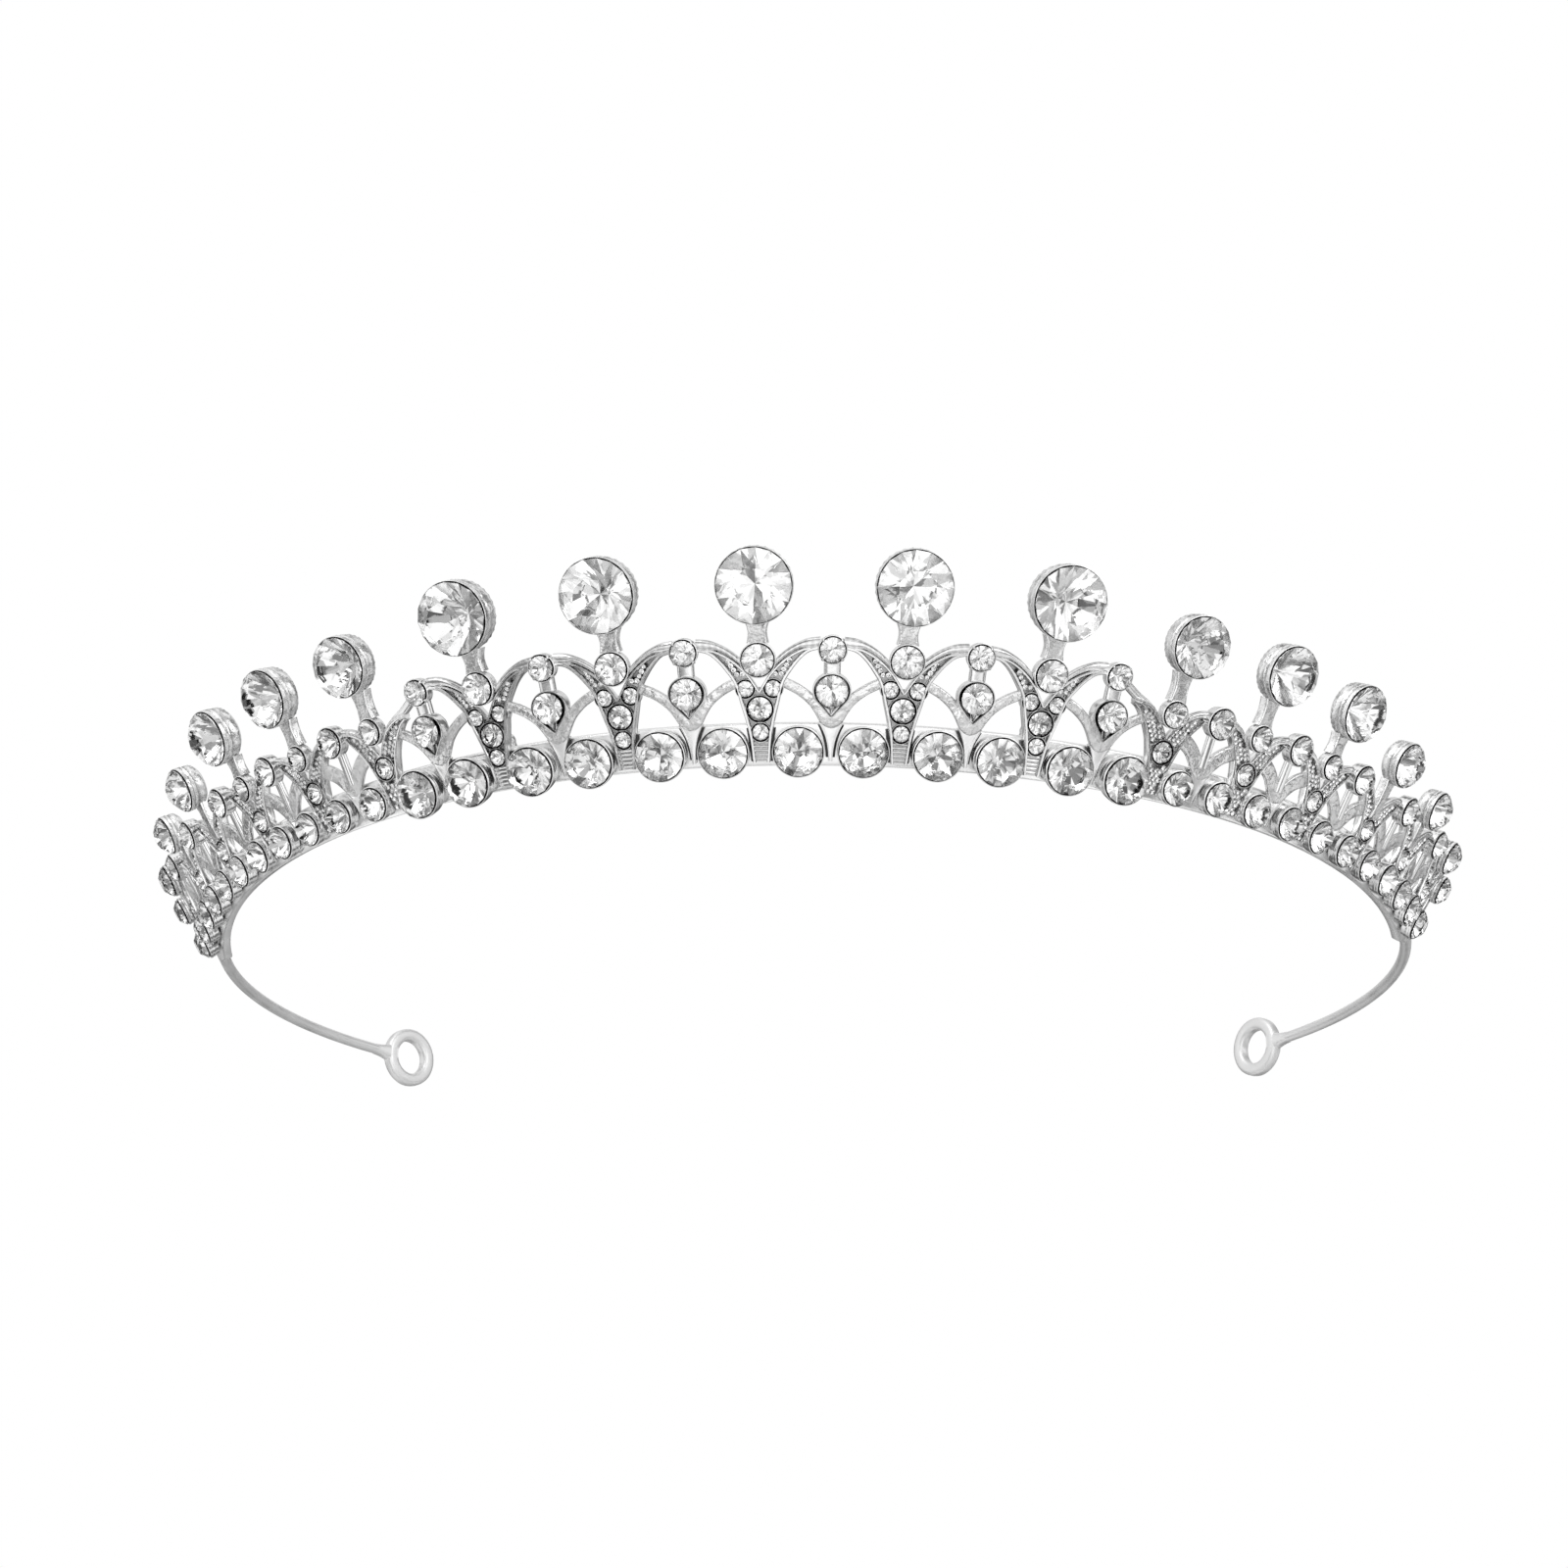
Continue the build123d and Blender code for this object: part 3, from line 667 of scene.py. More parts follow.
def paveSpots(index):
    # a triangular lattice, kept where it is clear of the rails and of the larger stones
    v, edges = vShape, vEdges(index)
    kind = edges["kind"]
    outer, notch = smoothCurve(edges["outer"], 80), smoothCurve(edges["notch"], 80)
    pitch = v["pavePitch"]
    col, row = np.meshgrid(np.arange(-1, 12), np.arange(-2, 26))
    x = (col + 0.5 * (row % 2)) * pitch + 0.02
    up = row * pitch * v["paveRow"] - 0.3
    spots = np.stack([x.ravel(), up.ravel()], -1)

    def away(curve):
        return np.linalg.norm(spots[:, None] - curve[None], axis=-1).min(1)

    edge = np.interp(spots[:, 1], outer[:, 1], outer[:, 0])
    inner = np.interp(spots[:, 1], notch[:, 1], notch[:, 0], left=-0.01)
    keep = (spots[:, 1] < notch[-1, 1]) & (spots[:, 0] < edge) & (spots[:, 0] > inner)
    keep &= (away(outer) > v["outerRail"][kind] + v["railGap"]) & (away(notch) > v["stoneGap"])
    for size, stoneX, stoneUp in edges["stones"]:
        keep &= np.linalg.norm(spots - [stoneX, stoneUp], axis=1) > size / 2 + v["stoneGap"]
    keep &= (spots[:, 1] > v["paveFrom"][kind]) & (spots[:, 0] > -0.05)
    spots = spots[keep]
    left = spots[spots[:, 0] > 0.1] * [-1, 1]
    return np.concatenate([spots, left])


def paveShape():
    # a tiny stone: eight-sided table, sloping sides, and a shallow pointed back
    v, angle = vShape, np.arange(8) * np.pi / 4
    rim = np.stack([np.cos(angle), np.sin(angle)], -1)
    points = np.concatenate([
        np.concatenate([rim * v["paveTable"], np.full((8, 1), v["paveTop"])], 1),
        np.concatenate([rim, np.full((8, 1), 0.0)], 1),
        [[0, 0, v["paveTop"]], [0, 0, v["paveBack"]]],
    ])
    k = np.arange(8)
    n = (k + 1) % 8
    quads = np.stack([k, k + 8, n + 8, n], -1)
    top, low = np.stack([np.full(8, 16), k, n], -1), np.stack([np.full(8, 17), n + 8, k + 8], -1)
    tris = np.concatenate([top, low])
    return points, quads, tris, np.zeros(8, int), np.repeat([0, 1], [8, 8])


def paveAt(spots, arc, size):
    points, quads, tris, quadSlots, triSlots = paveShape()
    v, made = vShape, []
    for x, up in spots:
        tilt = rng.uniform(-v["paveTilt"], v["paveTilt"], 2)
        local = points * rng.uniform(*v["paveGrow"])
        local[:, 2] += local[:, 0] * tilt[0] + local[:, 1] * tilt[1]
        out = cone["back"] + v["paveOut"] + rng.uniform(0, v["paveLift"])
        centre = facePoint(np.array(arc + x), np.array(up), np.array(out))
        piece = shell(centre + local * size / 2 * unit @ faceAxes(arc + x).T, quads, tris, smooth=False)
        piece["quadSlots"], piece["triSlots"] = quadSlots, triSlots
        made.append(piece)
    return made


print("V motifs")
sideNames = {1: "right", -1: "left"}
motifStones, paveStones = [], []
for side in (1, -1):
    for index in range(cone["motifCount"] + 1):
        if index == 0 and side < 0:
            continue
        arc = side * motifArc(index)
        node = "v_motif_center" if index == 0 else f"v_motif_{sideNames[side]}_{index}"
        makePiece("casting_" + node, vCasting(index, arc), [castSilver], [node])
        motifStones += vStones(index, arc)
        paveStones += paveAt(paveSpots(index), arc, vShape["pave"])
makePiece("stonesInMotifs", motifStones, stoneMaterials, ["motif_stones"])
makePiece("stonesPave", paveStones, stoneMaterials, ["pave_stones"])


leafShape = dict(
    wideFoot=[(0.2, -1.25), (0.34, 0.2), (0.6, 1.4), (1.0, 2.4), (1.35, 3.05)],
    wideLower=[(0, 2.35), (0.6, 2.55), (1.2, 3.1), (1.75, 4.1), (2.45, 5.1), (3.6, 6.1), (5.0, 6.9)],
    wideUpper=[(0, 4.5), (0.6, 4.9), (1.2, 5.5), (1.8, 6.05), (2.5, 6.65), (3.6, 7.4), (5.0, 8.1)],
    narrowFoot=[(0.26, -0.95), (0.45, 0.2), (0.75, 1.1), (1.1, 1.9), (1.35, 2.4)],
    narrowLower=[(0, 1.75), (0.7, 1.95), (1.25, 2.5), (1.8, 3.3), (2.6, 4.2), (4.0, 5.0)],
    narrowUpper=[(0, 3.9), (0.5, 4.3), (1.0, 5.0), (1.6, 5.6), (2.6, 6.3), (4.0, 7.0)],
    stemWide=1.0, stemFrom=3.2, stemLow=0.15, stemHigh=0.95,
    # the foot's side walls are painted dark as the shade in the gap beside the cups
    footThick=0.62, footDome=0.15, footRail=0.16, railLow=0.2, railOver=0.14, wallShade=0.85,
    # the skirt is a strip painted dark as shade in the gap beside the cups
    skirt=0.26, skirtShade=dict(wide=1.0, narrow=0.6),
    armLow=0.15, armHigh=0.78, armDome=0.22,
)


def leafCasting(index, arc):
    # two domed arms that part above the foot
    kind = "wide" if index < cone["wideCount"] else "narrow"
    lower = smoothCurve(leafShape[kind + "Lower"], 36)
    upper = smoothCurve(leafShape[kind + "Upper"], 36)
    shells = []
    for side in (1, -1):
        arm = stripFlat(upper, lower, leafShape["armLow"], leafShape["armHigh"], leafShape["armDome"],
                        24, 0.35)
        shells.append(gridShell(bend(arm if side > 0 else mirrorFlat(arm), arc)))
    return shells


def leafFoot(index, arc):
    # a bright tapering plate with a fine rail down each side, its side walls painted dark as shade
    kind = "wide" if index < cone["wideCount"] else "narrow"
    thick = leafShape["footThick"]
    foot = smoothCurve(leafShape[kind + "Foot"], 24)
    lift = roundBox(24, 0.3)[1]
    sideShade = np.tile(np.where(lift < 0.3, leafShape["wallShade"], 0.0)[None, :], (24, 1))
    plate = stripFlat(foot * [-1, 1], foot, 0.0, thick, leafShape["footDome"], 24, 0.3)
    shells = [gridShell(bend(plate, arc), sideShade, 1)]
    shells.append(shadowStripShell(foot[2:-2], leafShape["skirt"], arc, leafShape["skirtShade"][kind]))
    for side in (1, -1):
        high = thick + leafShape["railOver"]
        rail = railFlat(foot, leafShape["footRail"], leafShape["railLow"], high, leafShape["footRail"] / 2)
        shells.append(gridShell(bend(rail if side > 0 else mirrorFlat(rail), arc)))
    return shells


def dropBezel(arc):
    # pear-shaped wall: the round part meets two straight sides that run down to a point
    r, up, tip = drop["stone"] / 2 + drop["wall"], drop["up"], drop["tip"]
    touch = np.arccos(r / (up - tip))
    angle = np.linspace(-np.pi / 2 + touch, 1.5 * np.pi - touch, 56)
    circle = np.stack([r * np.cos(angle), up + r * np.sin(angle)], -1)
    right = np.linspace([drop["tipHalf"], tip], circle[0], 14)[:-1]
    left = np.linspace(circle[-1], [-drop["tipHalf"], tip], 14)[1:]
    path = np.concatenate([right, circle, left])
    rim = girdleUp(drop["stone"]) - 0.1
    top = rim - drop["fall"] * np.clip((up - r * 0.4 - path[:, 1]) / (up - tip), 0, 1)
    across, lift = roundBox(12, 0.55)
    way = np.roll(path, -1, 0) - np.roll(path, 1, 0)
    way /= np.linalg.norm(way, axis=1, keepdims=True)
    sideways = np.stack([way[:, 1], -way[:, 0]], -1)
    flat = path[:, None] + sideways[:, None] * (across * drop["railHalf"])[None, :, None]
    top, low = top[:, None], drop["railLow"]
    height = (top + low) / 2 + (top - low) / 2 * lift[None, :]
    # the wall's inner side is painted darker as shade
    inside = np.broadcast_to(np.where(across < -0.4, 0.55, 0.0)[None, :], flat.shape[:2])
    wall = ringShell(bend(np.concatenate([flat, height[..., None]], -1), arc), inside)
    levels = np.linspace(tip, up + r, 40)
    half = np.interp(levels, np.append(right[:, 1], circle[:28, 1]), np.append(right[:, 0], circle[:28, 0]))
    edge = np.stack([np.maximum(half, 0.05), levels], -1)
    # the floor's face behind the stone is painted dark as the shade under it
    shade = np.where(roundBox(16, 0.3)[1] > 0.5, 0.9, 0.0)[None, :]
    floor = gridShell(bend(stripFlat(edge * [-1, 1], edge, 0.05, 0.25, 0, 16, 0.3), arc), shade)
    fill = np.linspace([0.05, tip + 0.3], [0.42, up - r + 0.25], 10)
    claw = stripFlat(fill * [-1, 1], fill, 0.5, np.linspace(1.3, rim + 0.2, 10), 0.2, 16, 0.7)
    stemPath = np.stack([np.zeros(6), np.linspace(up + r - 0.1, apex["wideUp"] - 1.2, 6)], -1)
    stem = railFlat(stemPath, drop["stem"], drop["stemLow"], drop["stemHigh"], 0.0, 16, 0.5)
    return [wall, floor, gridShell(bend(claw, arc)), gridShell(bend(stem, arc))]


print("leaves and drops")
apexPlaces, dropPlaces = [], []
for side in (1, -1):
    for index in range(cone["motifCount"]):
        arc = side * leafArc(index)
        wide = index < cone["wideCount"]
        size, up = (apex["wide"], apex["wideUp"]) if wide else (apex["narrow"], apex["narrowUp"])
        node = f"leaf_{sideNames[side]}_{index + 1}"
        makePiece("satin_" + node, leafCasting(index, arc), [satinSilver], [node])
        shells = leafFoot(index, arc) + [cupAt(size, arc, up)]
        if not wide:
            stem = np.stack([np.zeros(6), np.linspace(leafShape["stemFrom"], up - size / 2 + 0.1, 6)], -1)
            stem = railFlat(stem, leafShape["stemWide"], leafShape["stemLow"], leafShape["stemHigh"],
                            0.0, 16, 0.6)
            shells.append(gridShell(bend(stem, arc)))
        else:
            shells += clawsAt(size, arc, up)
            shells += dropBezel(arc)
            dropPlaces.append((arc, drop["up"], drop["stone"]))
        makePiece("cups_" + node, shells, [castSilver, bandSilver], [])
        apexPlaces.append((arc, up, size))
makePiece("stonesApex", seatedStones(apexPlaces), stoneMaterials, ["apex_stones"])
makePiece("stonesDrop", seatedStones(dropPlaces, 0.0, 0.15), stoneMaterials, ["drop_stones"])


post = dict(round=0.45, waist=0.22, sunk=0.16, sunkWide=0.85, grain=0.07, grainWide=0.8)


def postAt(size, arc, low, high):
    # post: a rounded box that widens with height, its front pitted with grain between two ridges
    share = size / crown["stones"][0]
    t = np.linspace(0, 1, 26)[:, None]
    across, lift = roundBox(40, post["round"])
    half = crown["footWide"] / 2 * (0.6 + 0.4 * share) * (1 - t) + crown["headWide"] / 2 * share * t
    half = half * (1 - post["waist"] * np.sin(np.pi * t))
    thick = crown["thick"] * (0.5 + 0.5 * share)
    up = low + (high - low) * t
    grain = post["grain"] * np.sin(up * 9.3 + across * 5 + arc) * np.cos(across * 11 + up * 6.1 + arc * 3)
    inner = np.abs(across) < post["grainWide"]
    sunk = post["sunk"] * (1 - (across / post["sunkWide"]) ** 4).clip(0, 1)
    front = (lift > 0) * (-sunk + grain * inner)
    local = np.stack([half * across, up + 0 * across, thick / 2 * (1 + lift) + front], -1)
    origin = facePoint(np.array(arc), np.array(0.0), np.array(cone["back"]))
    # the sunk front between the ridges is painted darker as shade, with a real mottle that follows the grain
    paintedShadeAndTarnish = np.where((lift > 0) & inner, 0.25 + 2.2 * np.abs(grain), 0.0).clip(0, 0.6)
    return gridShell(origin + local * unit @ faceAxes(arc).T, paintedShadeAndTarnish)


print("crown spikes")
crownPlaces, crotchPlaces = [], []
for side in (1, -1):
    endShells = []
    for index, (size, up) in enumerate(zip(crown["stones"], crown["ups"])):
        if index == 0 and side < 0:
            continue
        arc = side * motifArc(index)
        shells = [cupAt(size, arc, up, crown["back"], 30)]
        if index < crown["plainFrom"]:
            kind = "wide" if index < cone["wideCount"] else "narrow"
            small, smallUp = crotch[kind], crotch[kind + "Up"]
            shells.append(cupAt(small, arc, smallUp))
            crotchPlaces.append((arc, smallUp, small))
            low = smallUp + small / 2
        else:
            low = crown["bareFoot"]
        shells.append(postAt(size, arc, low, up - size / 2 + 0.1))
        crownPlaces.append((arc, up, size))
        if index < crown["plainFrom"]:
            node = "crown_spike_center" if index == 0 else f"crown_spike_{sideNames[side]}_{index}"
            makePiece("spike_" + node, shells, [grainSilver], [node])
        else:
            endShells += shells
    arc = side * (motifArc(cone["motifCount"]) + crown["endOffset"])
    endShells.append(cupAt(crown["endStone"], arc, crown["endUp"], 0.0, 24))
    head = crown["endUp"] - crown["endStone"] / 2 + 0.1
    endShells.append(postAt(crown["endStone"], arc, crown["endFoot"], head))
    crownPlaces.append((arc, crown["endUp"], crown["endStone"]))
    node = f"crown_spikes_end_{sideNames[side]}"
    makePiece("spikes_" + node, endShells, [grainSilver], [node])
crownStones = seatedStones(crownPlaces, crown["spread"], crown["back"])
makePiece("stonesCrown", crownStones, stoneMaterials, ["crown_stones"])
makePiece("stonesCrotch", seatedStones(crotchPlaces), stoneMaterials, ["crotch_stones"])


print("base row")
basePlaces = []
for index in range(cone["motifCount"]):
    wide = index < cone["wideCount"]
    offset = baseStone["wideOffset"] if wide else baseStone["narrowOffset"]
    pitch = cone["widePitch"] if wide else cone["narrowPitch"]
    size, up = (baseStone["wide"], 0.0) if wide else (baseStone["narrow"], baseStone["narrowUp"])
    basePlaces += [(motifArc(index) + offset, up, size), (motifArc(index) + pitch - offset, up, size)]
endArc = motifArc(cone["motifCount"]) + baseStone["narrowOffset"]
basePlaces.append((endArc, baseStone["narrowUp"], baseStone["narrow"]))
largeStones, smallStones = [], []
for side in (1, -1):
    places = [(side * arc, up, size) for arc, up, size in basePlaces]
    shells = [cupAt(size, arc, up, sink=baseStone["sink"]) for arc, up, size in places]
    node = "base_cups_" + sideNames[side]
    makePiece("baseCups_" + sideNames[side], shells, [castSilver], [node])
    largeStones += [place for place in places if place[2] == baseStone["wide"]]
    smallStones += [place for place in places if place[2] == baseStone["narrow"]]
for name, places in (("Large", largeStones), ("Small", smallStones)):
    stones = seatedStones(places, baseStone["spread"], 0.0, baseStone["sink"])
    makePiece("stonesBase" + name, stones, stoneMaterials, ["base_stones_" + name.lower()])


def bandShell():
    # the section is a rounded box carried round the base circle, and it shrinks along both tabs
    b = band
    tab = np.linspace(b["end"], b["end"] + b["tab"], 12)[1:]
    arc = np.concatenate([-tab[::-1], np.linspace(-b["end"], b["end"], 260), tab])
    past = np.clip((np.abs(arc) - b["end"]) / b["tab"], 0, 1)[:, None]
    ease = past * past * (3 - 2 * past)
    across, lift = roundBox(32, 0.18)
    tall = (b["top"] - b["bottom"]) * (1 - ease) + b["tabTall"] * ease
    thick = b["thickness"] * (1 - ease) + b["tabThick"] * ease
    up = (b["top"] + b["bottom"]) / 2 + b["tabUp"] * ease + tall / 2 * across
    out = b["thickness"] / 2 + thick / 2 * lift
    return gridShell(facePoint(arc[:, None] + 0 * up, up, out))


lug = dict(motif=2, up=2.5, halfTall=1.7, halfWide=1.0, halfDeep=0.65)


def lugShell(side):
    # a rough cast lump: a rounded box with a wavy skin
    t = np.linspace(-1, 1, 18)[:, None]
    across, lift = roundBox(24, 0.6)
    pinch = np.sqrt(1 - 0.92 * t**6)
    wave = 1 + 0.08 * np.sin(7 * t + 5 * across) * np.cos(6 * lift + side)
    x, up = lug["halfWide"] * across * pinch * wave, lug["up"] + lug["halfTall"] * t + 0 * across
    out = lug["halfDeep"] * (lift * pinch * wave - 1)
    return gridShell(facePoint(side * motifArc(lug["motif"]) + x, up, out))


print("band, lugs and wires")
makePiece("baseBand", [bandShell()], [bandSilver], ["base_band"])
makePiece("rearLugs", [lugShell(1), lugShell(-1)], [grainSilver], ["rear_lugs"])

wire = dict(
    diameter=1.5, bendRadius=58.0, turn=50.4, overlap=3.0,
    ringOuter=8.7, ringHole=5.0, ringThick=1.8,
    webFrom=-2.4, webTo=1.3, webSpread=1.5,  # the web spreads the wire into its ring
    leadEnd=0.3, lead=8, bendTo=60,  # points before the root, and the point where the bend ends
    swell=0.25, swellAt=6, swellWide=18, ringSink=0.3,
)


def wireShells(side, root):
    # a level arc that starts along the band's tangent, then a flat ring that stands upright at its end
    w = wire
    endTurn = band["end"] / cone["radius"]
    heading = np.array([side * np.cos(endTurn), np.sin(endTurn), 0])
    inward = np.array([-heading[1], heading[0], 0]) * side
    turn = np.linspace(0, np.radians(w["turn"]), 90)[:, None]
    radius = w["bendRadius"] * unit
    path = root + inward * radius * (1 - np.cos(turn)) + heading * radius * np.sin(turn)
    way = heading * np.cos(turn) + inward * np.sin(turn)
    lead = root - heading * np.linspace(w["overlap"], w["leadEnd"], w["lead"])[:, None] * unit
    path, way = np.concatenate([lead, path]), np.concatenate([np.tile(heading, (w["lead"], 1)), way])
    level = np.array([0.0, 0.0, 1.0])
    sideways = np.cross(way, level)
    angle = np.arange(24) / 24 * 2 * np.pi
    far = np.arange(len(path))[:, None] - w["swellAt"]
    swell = 1 + w["swell"] * np.exp(-(far**2) / w["swellWide"])
    fat = w["diameter"] / 2 * unit * swell
    section = np.cos(angle)[None, :, None] * sideways[:, None] + np.sin(angle)[None, :, None] * level
    shells = [gridShell(path[:, None] + fat[..., None] * section)]
    middle = path[-1] + way[-1] * (w["ringOuter"] / 2 - w["ringSink"]) * unit
    around = np.linspace(0, 2 * np.pi, 64, endpoint=False)[:, None]
    across, lift = roundBox(20, 0.6)
    rimMiddle, rimHalf = (w["ringOuter"] + w["ringHole"]) / 4, (w["ringOuter"] - w["ringHole"]) / 4
    reach = (rimMiddle + rimHalf * across) * unit
    spoke = np.cos(around)[..., None] * way[-1] + np.sin(around)[..., None] * level
    thick = (w["ringThick"] / 2 * unit * lift)[None, :, None] * sideways[-1]
    shells.append(ringShell(middle + reach[..., None] * spoke + thick))
    # the web where the wire spreads into the ring: half height = wire radius times (1 + spread t squared)
    t = np.linspace(0, 1, 16)[:, None]
    along = path[-1] + way[-1] * (w["webFrom"] + (w["webTo"] - w["webFrom"]) * t) * unit
    tall = w["diameter"] / 2 * (1 + w["webSpread"] * t**2) * lift
    deep = (w["diameter"] / 2 * (1 - t) + w["ringThick"] / 2 * t) * across
    web = tall[..., None] * level + deep[..., None] * sideways[-1]
    shells.append(gridShell(along[:, None] + web * unit))
    return shells, path


for side, body in ((1, "right_wire"), (-1, "left_wire")):
    joint = next(j for j in frame["record"]["behaviour"]["joints"] if j["child"] == body)
    shells, path = wireShells(side, np.array(joint["pos_m"]))
    name = sideNames[side]
    piece = makePiece("wire_" + name, shells, [wireSilver], ["side_wire_" + name], None)
    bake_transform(piece)


print("studio")
studio = dict(
    room=1.2,  # strength of the room's light
    rearDim=0.5, rearEnds=(0.1, 0.7),  # the room's share of it behind the tiara, and where the share falls
    patchScale=2.2, patchEnds=(0.42, 0.52), patches=(0.2, 0.95),  # soft dark and bright areas all round
    spotScale=4.0, spotEnds=(0.44, 0.52), spots=(0.6, 1.0),  # the same, in the bright area in front
    bright=(0.05, -0.93, -0.37), brightEnds=(0.75, 0.95),  # where that area's middle and edge lie
    detail=0.5,
    floorEnds=(0.1, 0.42),  # the floor is solid up to the first distance and clear past the second
    floorWide=3.0, floorUp=-0.0002, floorTone=0.86, floorRough=0.7,
    aim=(0, -0.02, 0.01),  # what every lamp points at
)
camera = dict(
    distance=333.58, elevation=-21.77, azimuth=-4.51, aimY=-23.32, aimUp=7.10,
    lens=63.76, sensor=36, roll=0.54, clip=(0.01, 20),
)
lamps = dict(
    key=dict(place=(-0.5, -0.7, 0.75), size=(0.8, 0.6), power=2.4),
    fill=dict(place=(0.7, -0.6, 0.3), size=(0.6, 0.7), power=1.3),
    low=dict(place=(0.1, -0.9, -0.35), size=(1.0, 0.5), power=0.7),
    rear=dict(place=(0.0, 0.8, 0.7), size=(1.0, 0.6), power=0.45),
)


def addCamera():
    c = camera
    up, turn = np.radians(c["elevation"]), np.radians(c["azimuth"])
    look = np.array([np.sin(turn) * np.cos(up), np.cos(turn) * np.cos(up), -np.sin(up)])
    right = np.array([np.cos(turn), -np.sin(turn), 0])
    high = np.cross(right, look)
    aim = np.array([0, c["aimY"] * unit, middleZ]) + high * c["aimUp"] * unit
    place = aim - look * c["distance"] * unit
    r = np.radians(c["roll"])
    rolledRight, rolledHigh = np.cos(r) * right + np.sin(r) * high, -np.sin(r) * right + np.cos(r) * high
    data = bpy.data.cameras.new("camera")
    data.sensor_width, data.lens = c["sensor"], c["lens"]
    data.clip_start, data.clip_end = c["clip"]
    holder = bpy.data.objects.new("camera", data)
    matrix = np.eye(4)
    matrix[:3, 0], matrix[:3, 1], matrix[:3, 2], matrix[:3, 3] = rolledRight, rolledHigh, -look, place
    holder.matrix_world = Matrix(matrix.tolist())
    bpy.context.scene.collection.objects.link(holder)
    bpy.context.scene.camera = holder


def addLight(name, place, aim, size, power):
    data = bpy.data.lights.new(name, "AREA")
    data.shape, data.size, data.size_y, data.energy = "RECTANGLE", size[0], size[1], power
    holder = bpy.data.objects.new(name, data)
    holder.location = place
    holder.rotation_euler = (Vector(aim) - Vector(place)).to_track_quat("-Z", "Y").to_euler()
    bpy.context.scene.collection.objects.link(holder)


def roomNoise(nodes, links, place, scale, ends, tones):
    # noise with a steep ramp, so that the room has soft-edged areas of two tones
    noise, ramp = nodes.new("ShaderNodeTexNoise"), nodes.new("ShaderNodeMapRange")
    noise.inputs["Scale"].default_value, noise.inputs["Detail"].default_value = scale, studio["detail"]
    links.new(place.outputs["Generated"], noise.inputs["Vector"])
    setRange(ramp, "From", ends)
    setRange(ramp, "To", tones)
    links.new(noise.outputs["Fac"], ramp.inputs["Value"])
    return ramp.outputs["Result"]


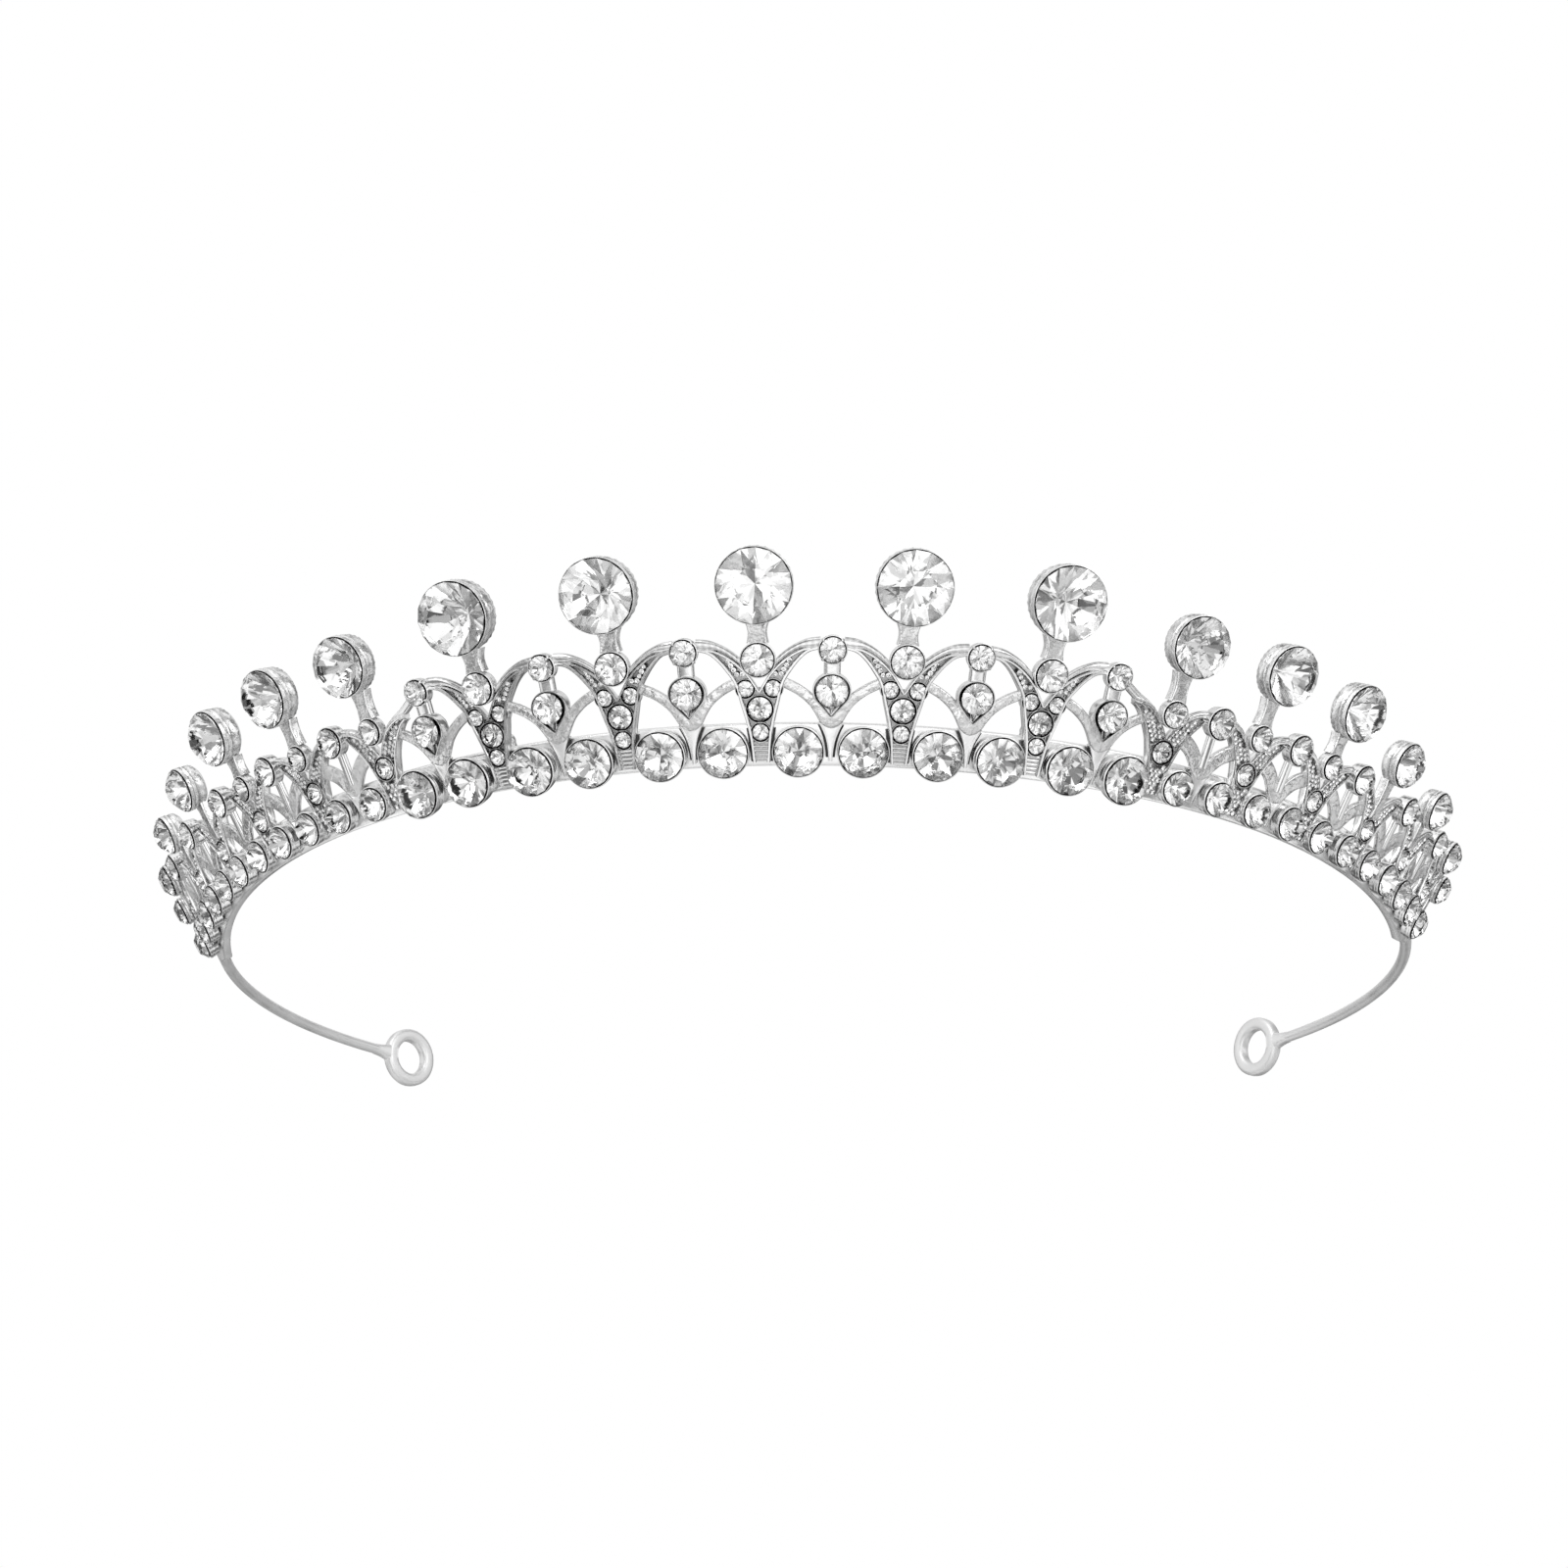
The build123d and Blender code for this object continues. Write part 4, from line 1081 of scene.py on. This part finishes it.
def addWorld():
    # the camera sees plain white, and everything else sees a pale room with areas of two tones:
    # brightness = (the larger of the patches and the front area) times the dimming behind
    world = bpy.data.worlds.new("studio")
    bpy.context.scene.world = world
    world.use_nodes = True
    nodes, links = world.node_tree.nodes, world.node_tree.links
    nodes.clear()
    place = nodes.new("ShaderNodeTexCoord")
    patches = roomNoise(nodes, links, place, studio["patchScale"], studio["patchEnds"], studio["patches"])
    spots = roomNoise(nodes, links, place, studio["spotScale"], studio["spotEnds"], studio["spots"])
    toward, front = nodes.new("ShaderNodeVectorMath"), nodes.new("ShaderNodeMapRange")
    toward.operation = "DOT_PRODUCT"
    toward.inputs[1].default_value = studio["bright"]
    links.new(place.outputs["Generated"], toward.inputs[0])
    setRange(front, "From", studio["brightEnds"])
    links.new(spots, front.inputs["To Max"])
    links.new(toward.outputs["Value"], front.inputs["Value"])
    axes, behind = nodes.new("ShaderNodeSeparateXYZ"), nodes.new("ShaderNodeMapRange")
    links.new(place.outputs["Generated"], axes.inputs["Vector"])
    links.new(axes.outputs["Y"], behind.inputs["Value"])
    setRange(behind, "From", studio["rearEnds"])
    setRange(behind, "To", (1.0, studio["rearDim"]))
    brighter, dimmer = nodes.new("ShaderNodeMath"), nodes.new("ShaderNodeMath")
    brighter.operation, dimmer.operation = "MAXIMUM", "MULTIPLY"
    links.new(patches, brighter.inputs[0])
    links.new(front.outputs["Result"], brighter.inputs[1])
    links.new(brighter.outputs["Value"], dimmer.inputs[0])
    links.new(behind.outputs["Result"], dimmer.inputs[1])
    room, plain = nodes.new("ShaderNodeBackground"), nodes.new("ShaderNodeBackground")
    links.new(dimmer.outputs["Value"], room.inputs["Color"])
    room.inputs["Strength"].default_value = studio["room"]
    plain.inputs["Color"].default_value = (1, 1, 1, 1)
    path, mix = nodes.new("ShaderNodeLightPath"), nodes.new("ShaderNodeMixShader")
    out = nodes.new("ShaderNodeOutputWorld")
    links.new(path.outputs["Is Camera Ray"], mix.inputs[0])
    links.new(room.outputs[0], mix.inputs[1])
    links.new(plain.outputs[0], mix.inputs[2])
    links.new(mix.outputs[0], out.inputs["Surface"])


def addFloor():
    # pale tabletop that fades into the white room and is clear from below, for a low camera
    mesh = bpy.data.meshes.new("floor")
    corners = np.array([(-1, -1), (1, -1), (1, 1), (-1, 1)]) * studio["floorWide"]
    mesh.from_pydata([(x, y, studio["floorUp"]) for x, y in corners], [], [(0, 1, 2, 3)])
    material, nodes, links, shader = newMaterial("paleFloor")
    shader.inputs["Base Color"].default_value = (*[studio["floorTone"]] * 3, 1)
    shader.inputs["Roughness"].default_value = studio["floorRough"]
    clear, mix = nodes.new("ShaderNodeBsdfTransparent"), nodes.new("ShaderNodeMixShader")
    back = nodes.new("ShaderNodeNewGeometry")
    place, far, fade, hidden = (nodes.new("ShaderNodeTexCoord"), nodes.new("ShaderNodeVectorMath"),
                                nodes.new("ShaderNodeMapRange"), nodes.new("ShaderNodeMath"))
    far.operation, hidden.operation = "LENGTH", "MAXIMUM"
    fade.interpolation_type = "SMOOTHSTEP"
    setRange(fade, "From", studio["floorEnds"])
    links.new(place.outputs["Object"], far.inputs[0])
    links.new(far.outputs["Value"], fade.inputs["Value"])
    links.new(fade.outputs["Result"], hidden.inputs[0])
    links.new(back.outputs["Backfacing"], hidden.inputs[1])
    links.new(hidden.outputs["Value"], mix.inputs[0])
    links.new(shader.outputs[0], mix.inputs[1])
    links.new(clear.outputs[0], mix.inputs[2])
    links.new(mix.outputs[0], nodes["Material Output"].inputs["Surface"])
    mesh.materials.append(material)
    floor = bpy.data.objects.new("floor", mesh)
    bpy.context.scene.collection.objects.link(floor)
    # reflections and the low light pass it, so the facets see the whole room
    floor.visible_glossy, floor.visible_transmission, floor.visible_shadow = False, False, False


addCamera()
addWorld()
addFloor()
for name, lamp in lamps.items():
    addLight(name, lamp["place"], studio["aim"], lamp["size"], lamp["power"])
bpy.context.scene.view_settings.view_transform = "Standard"
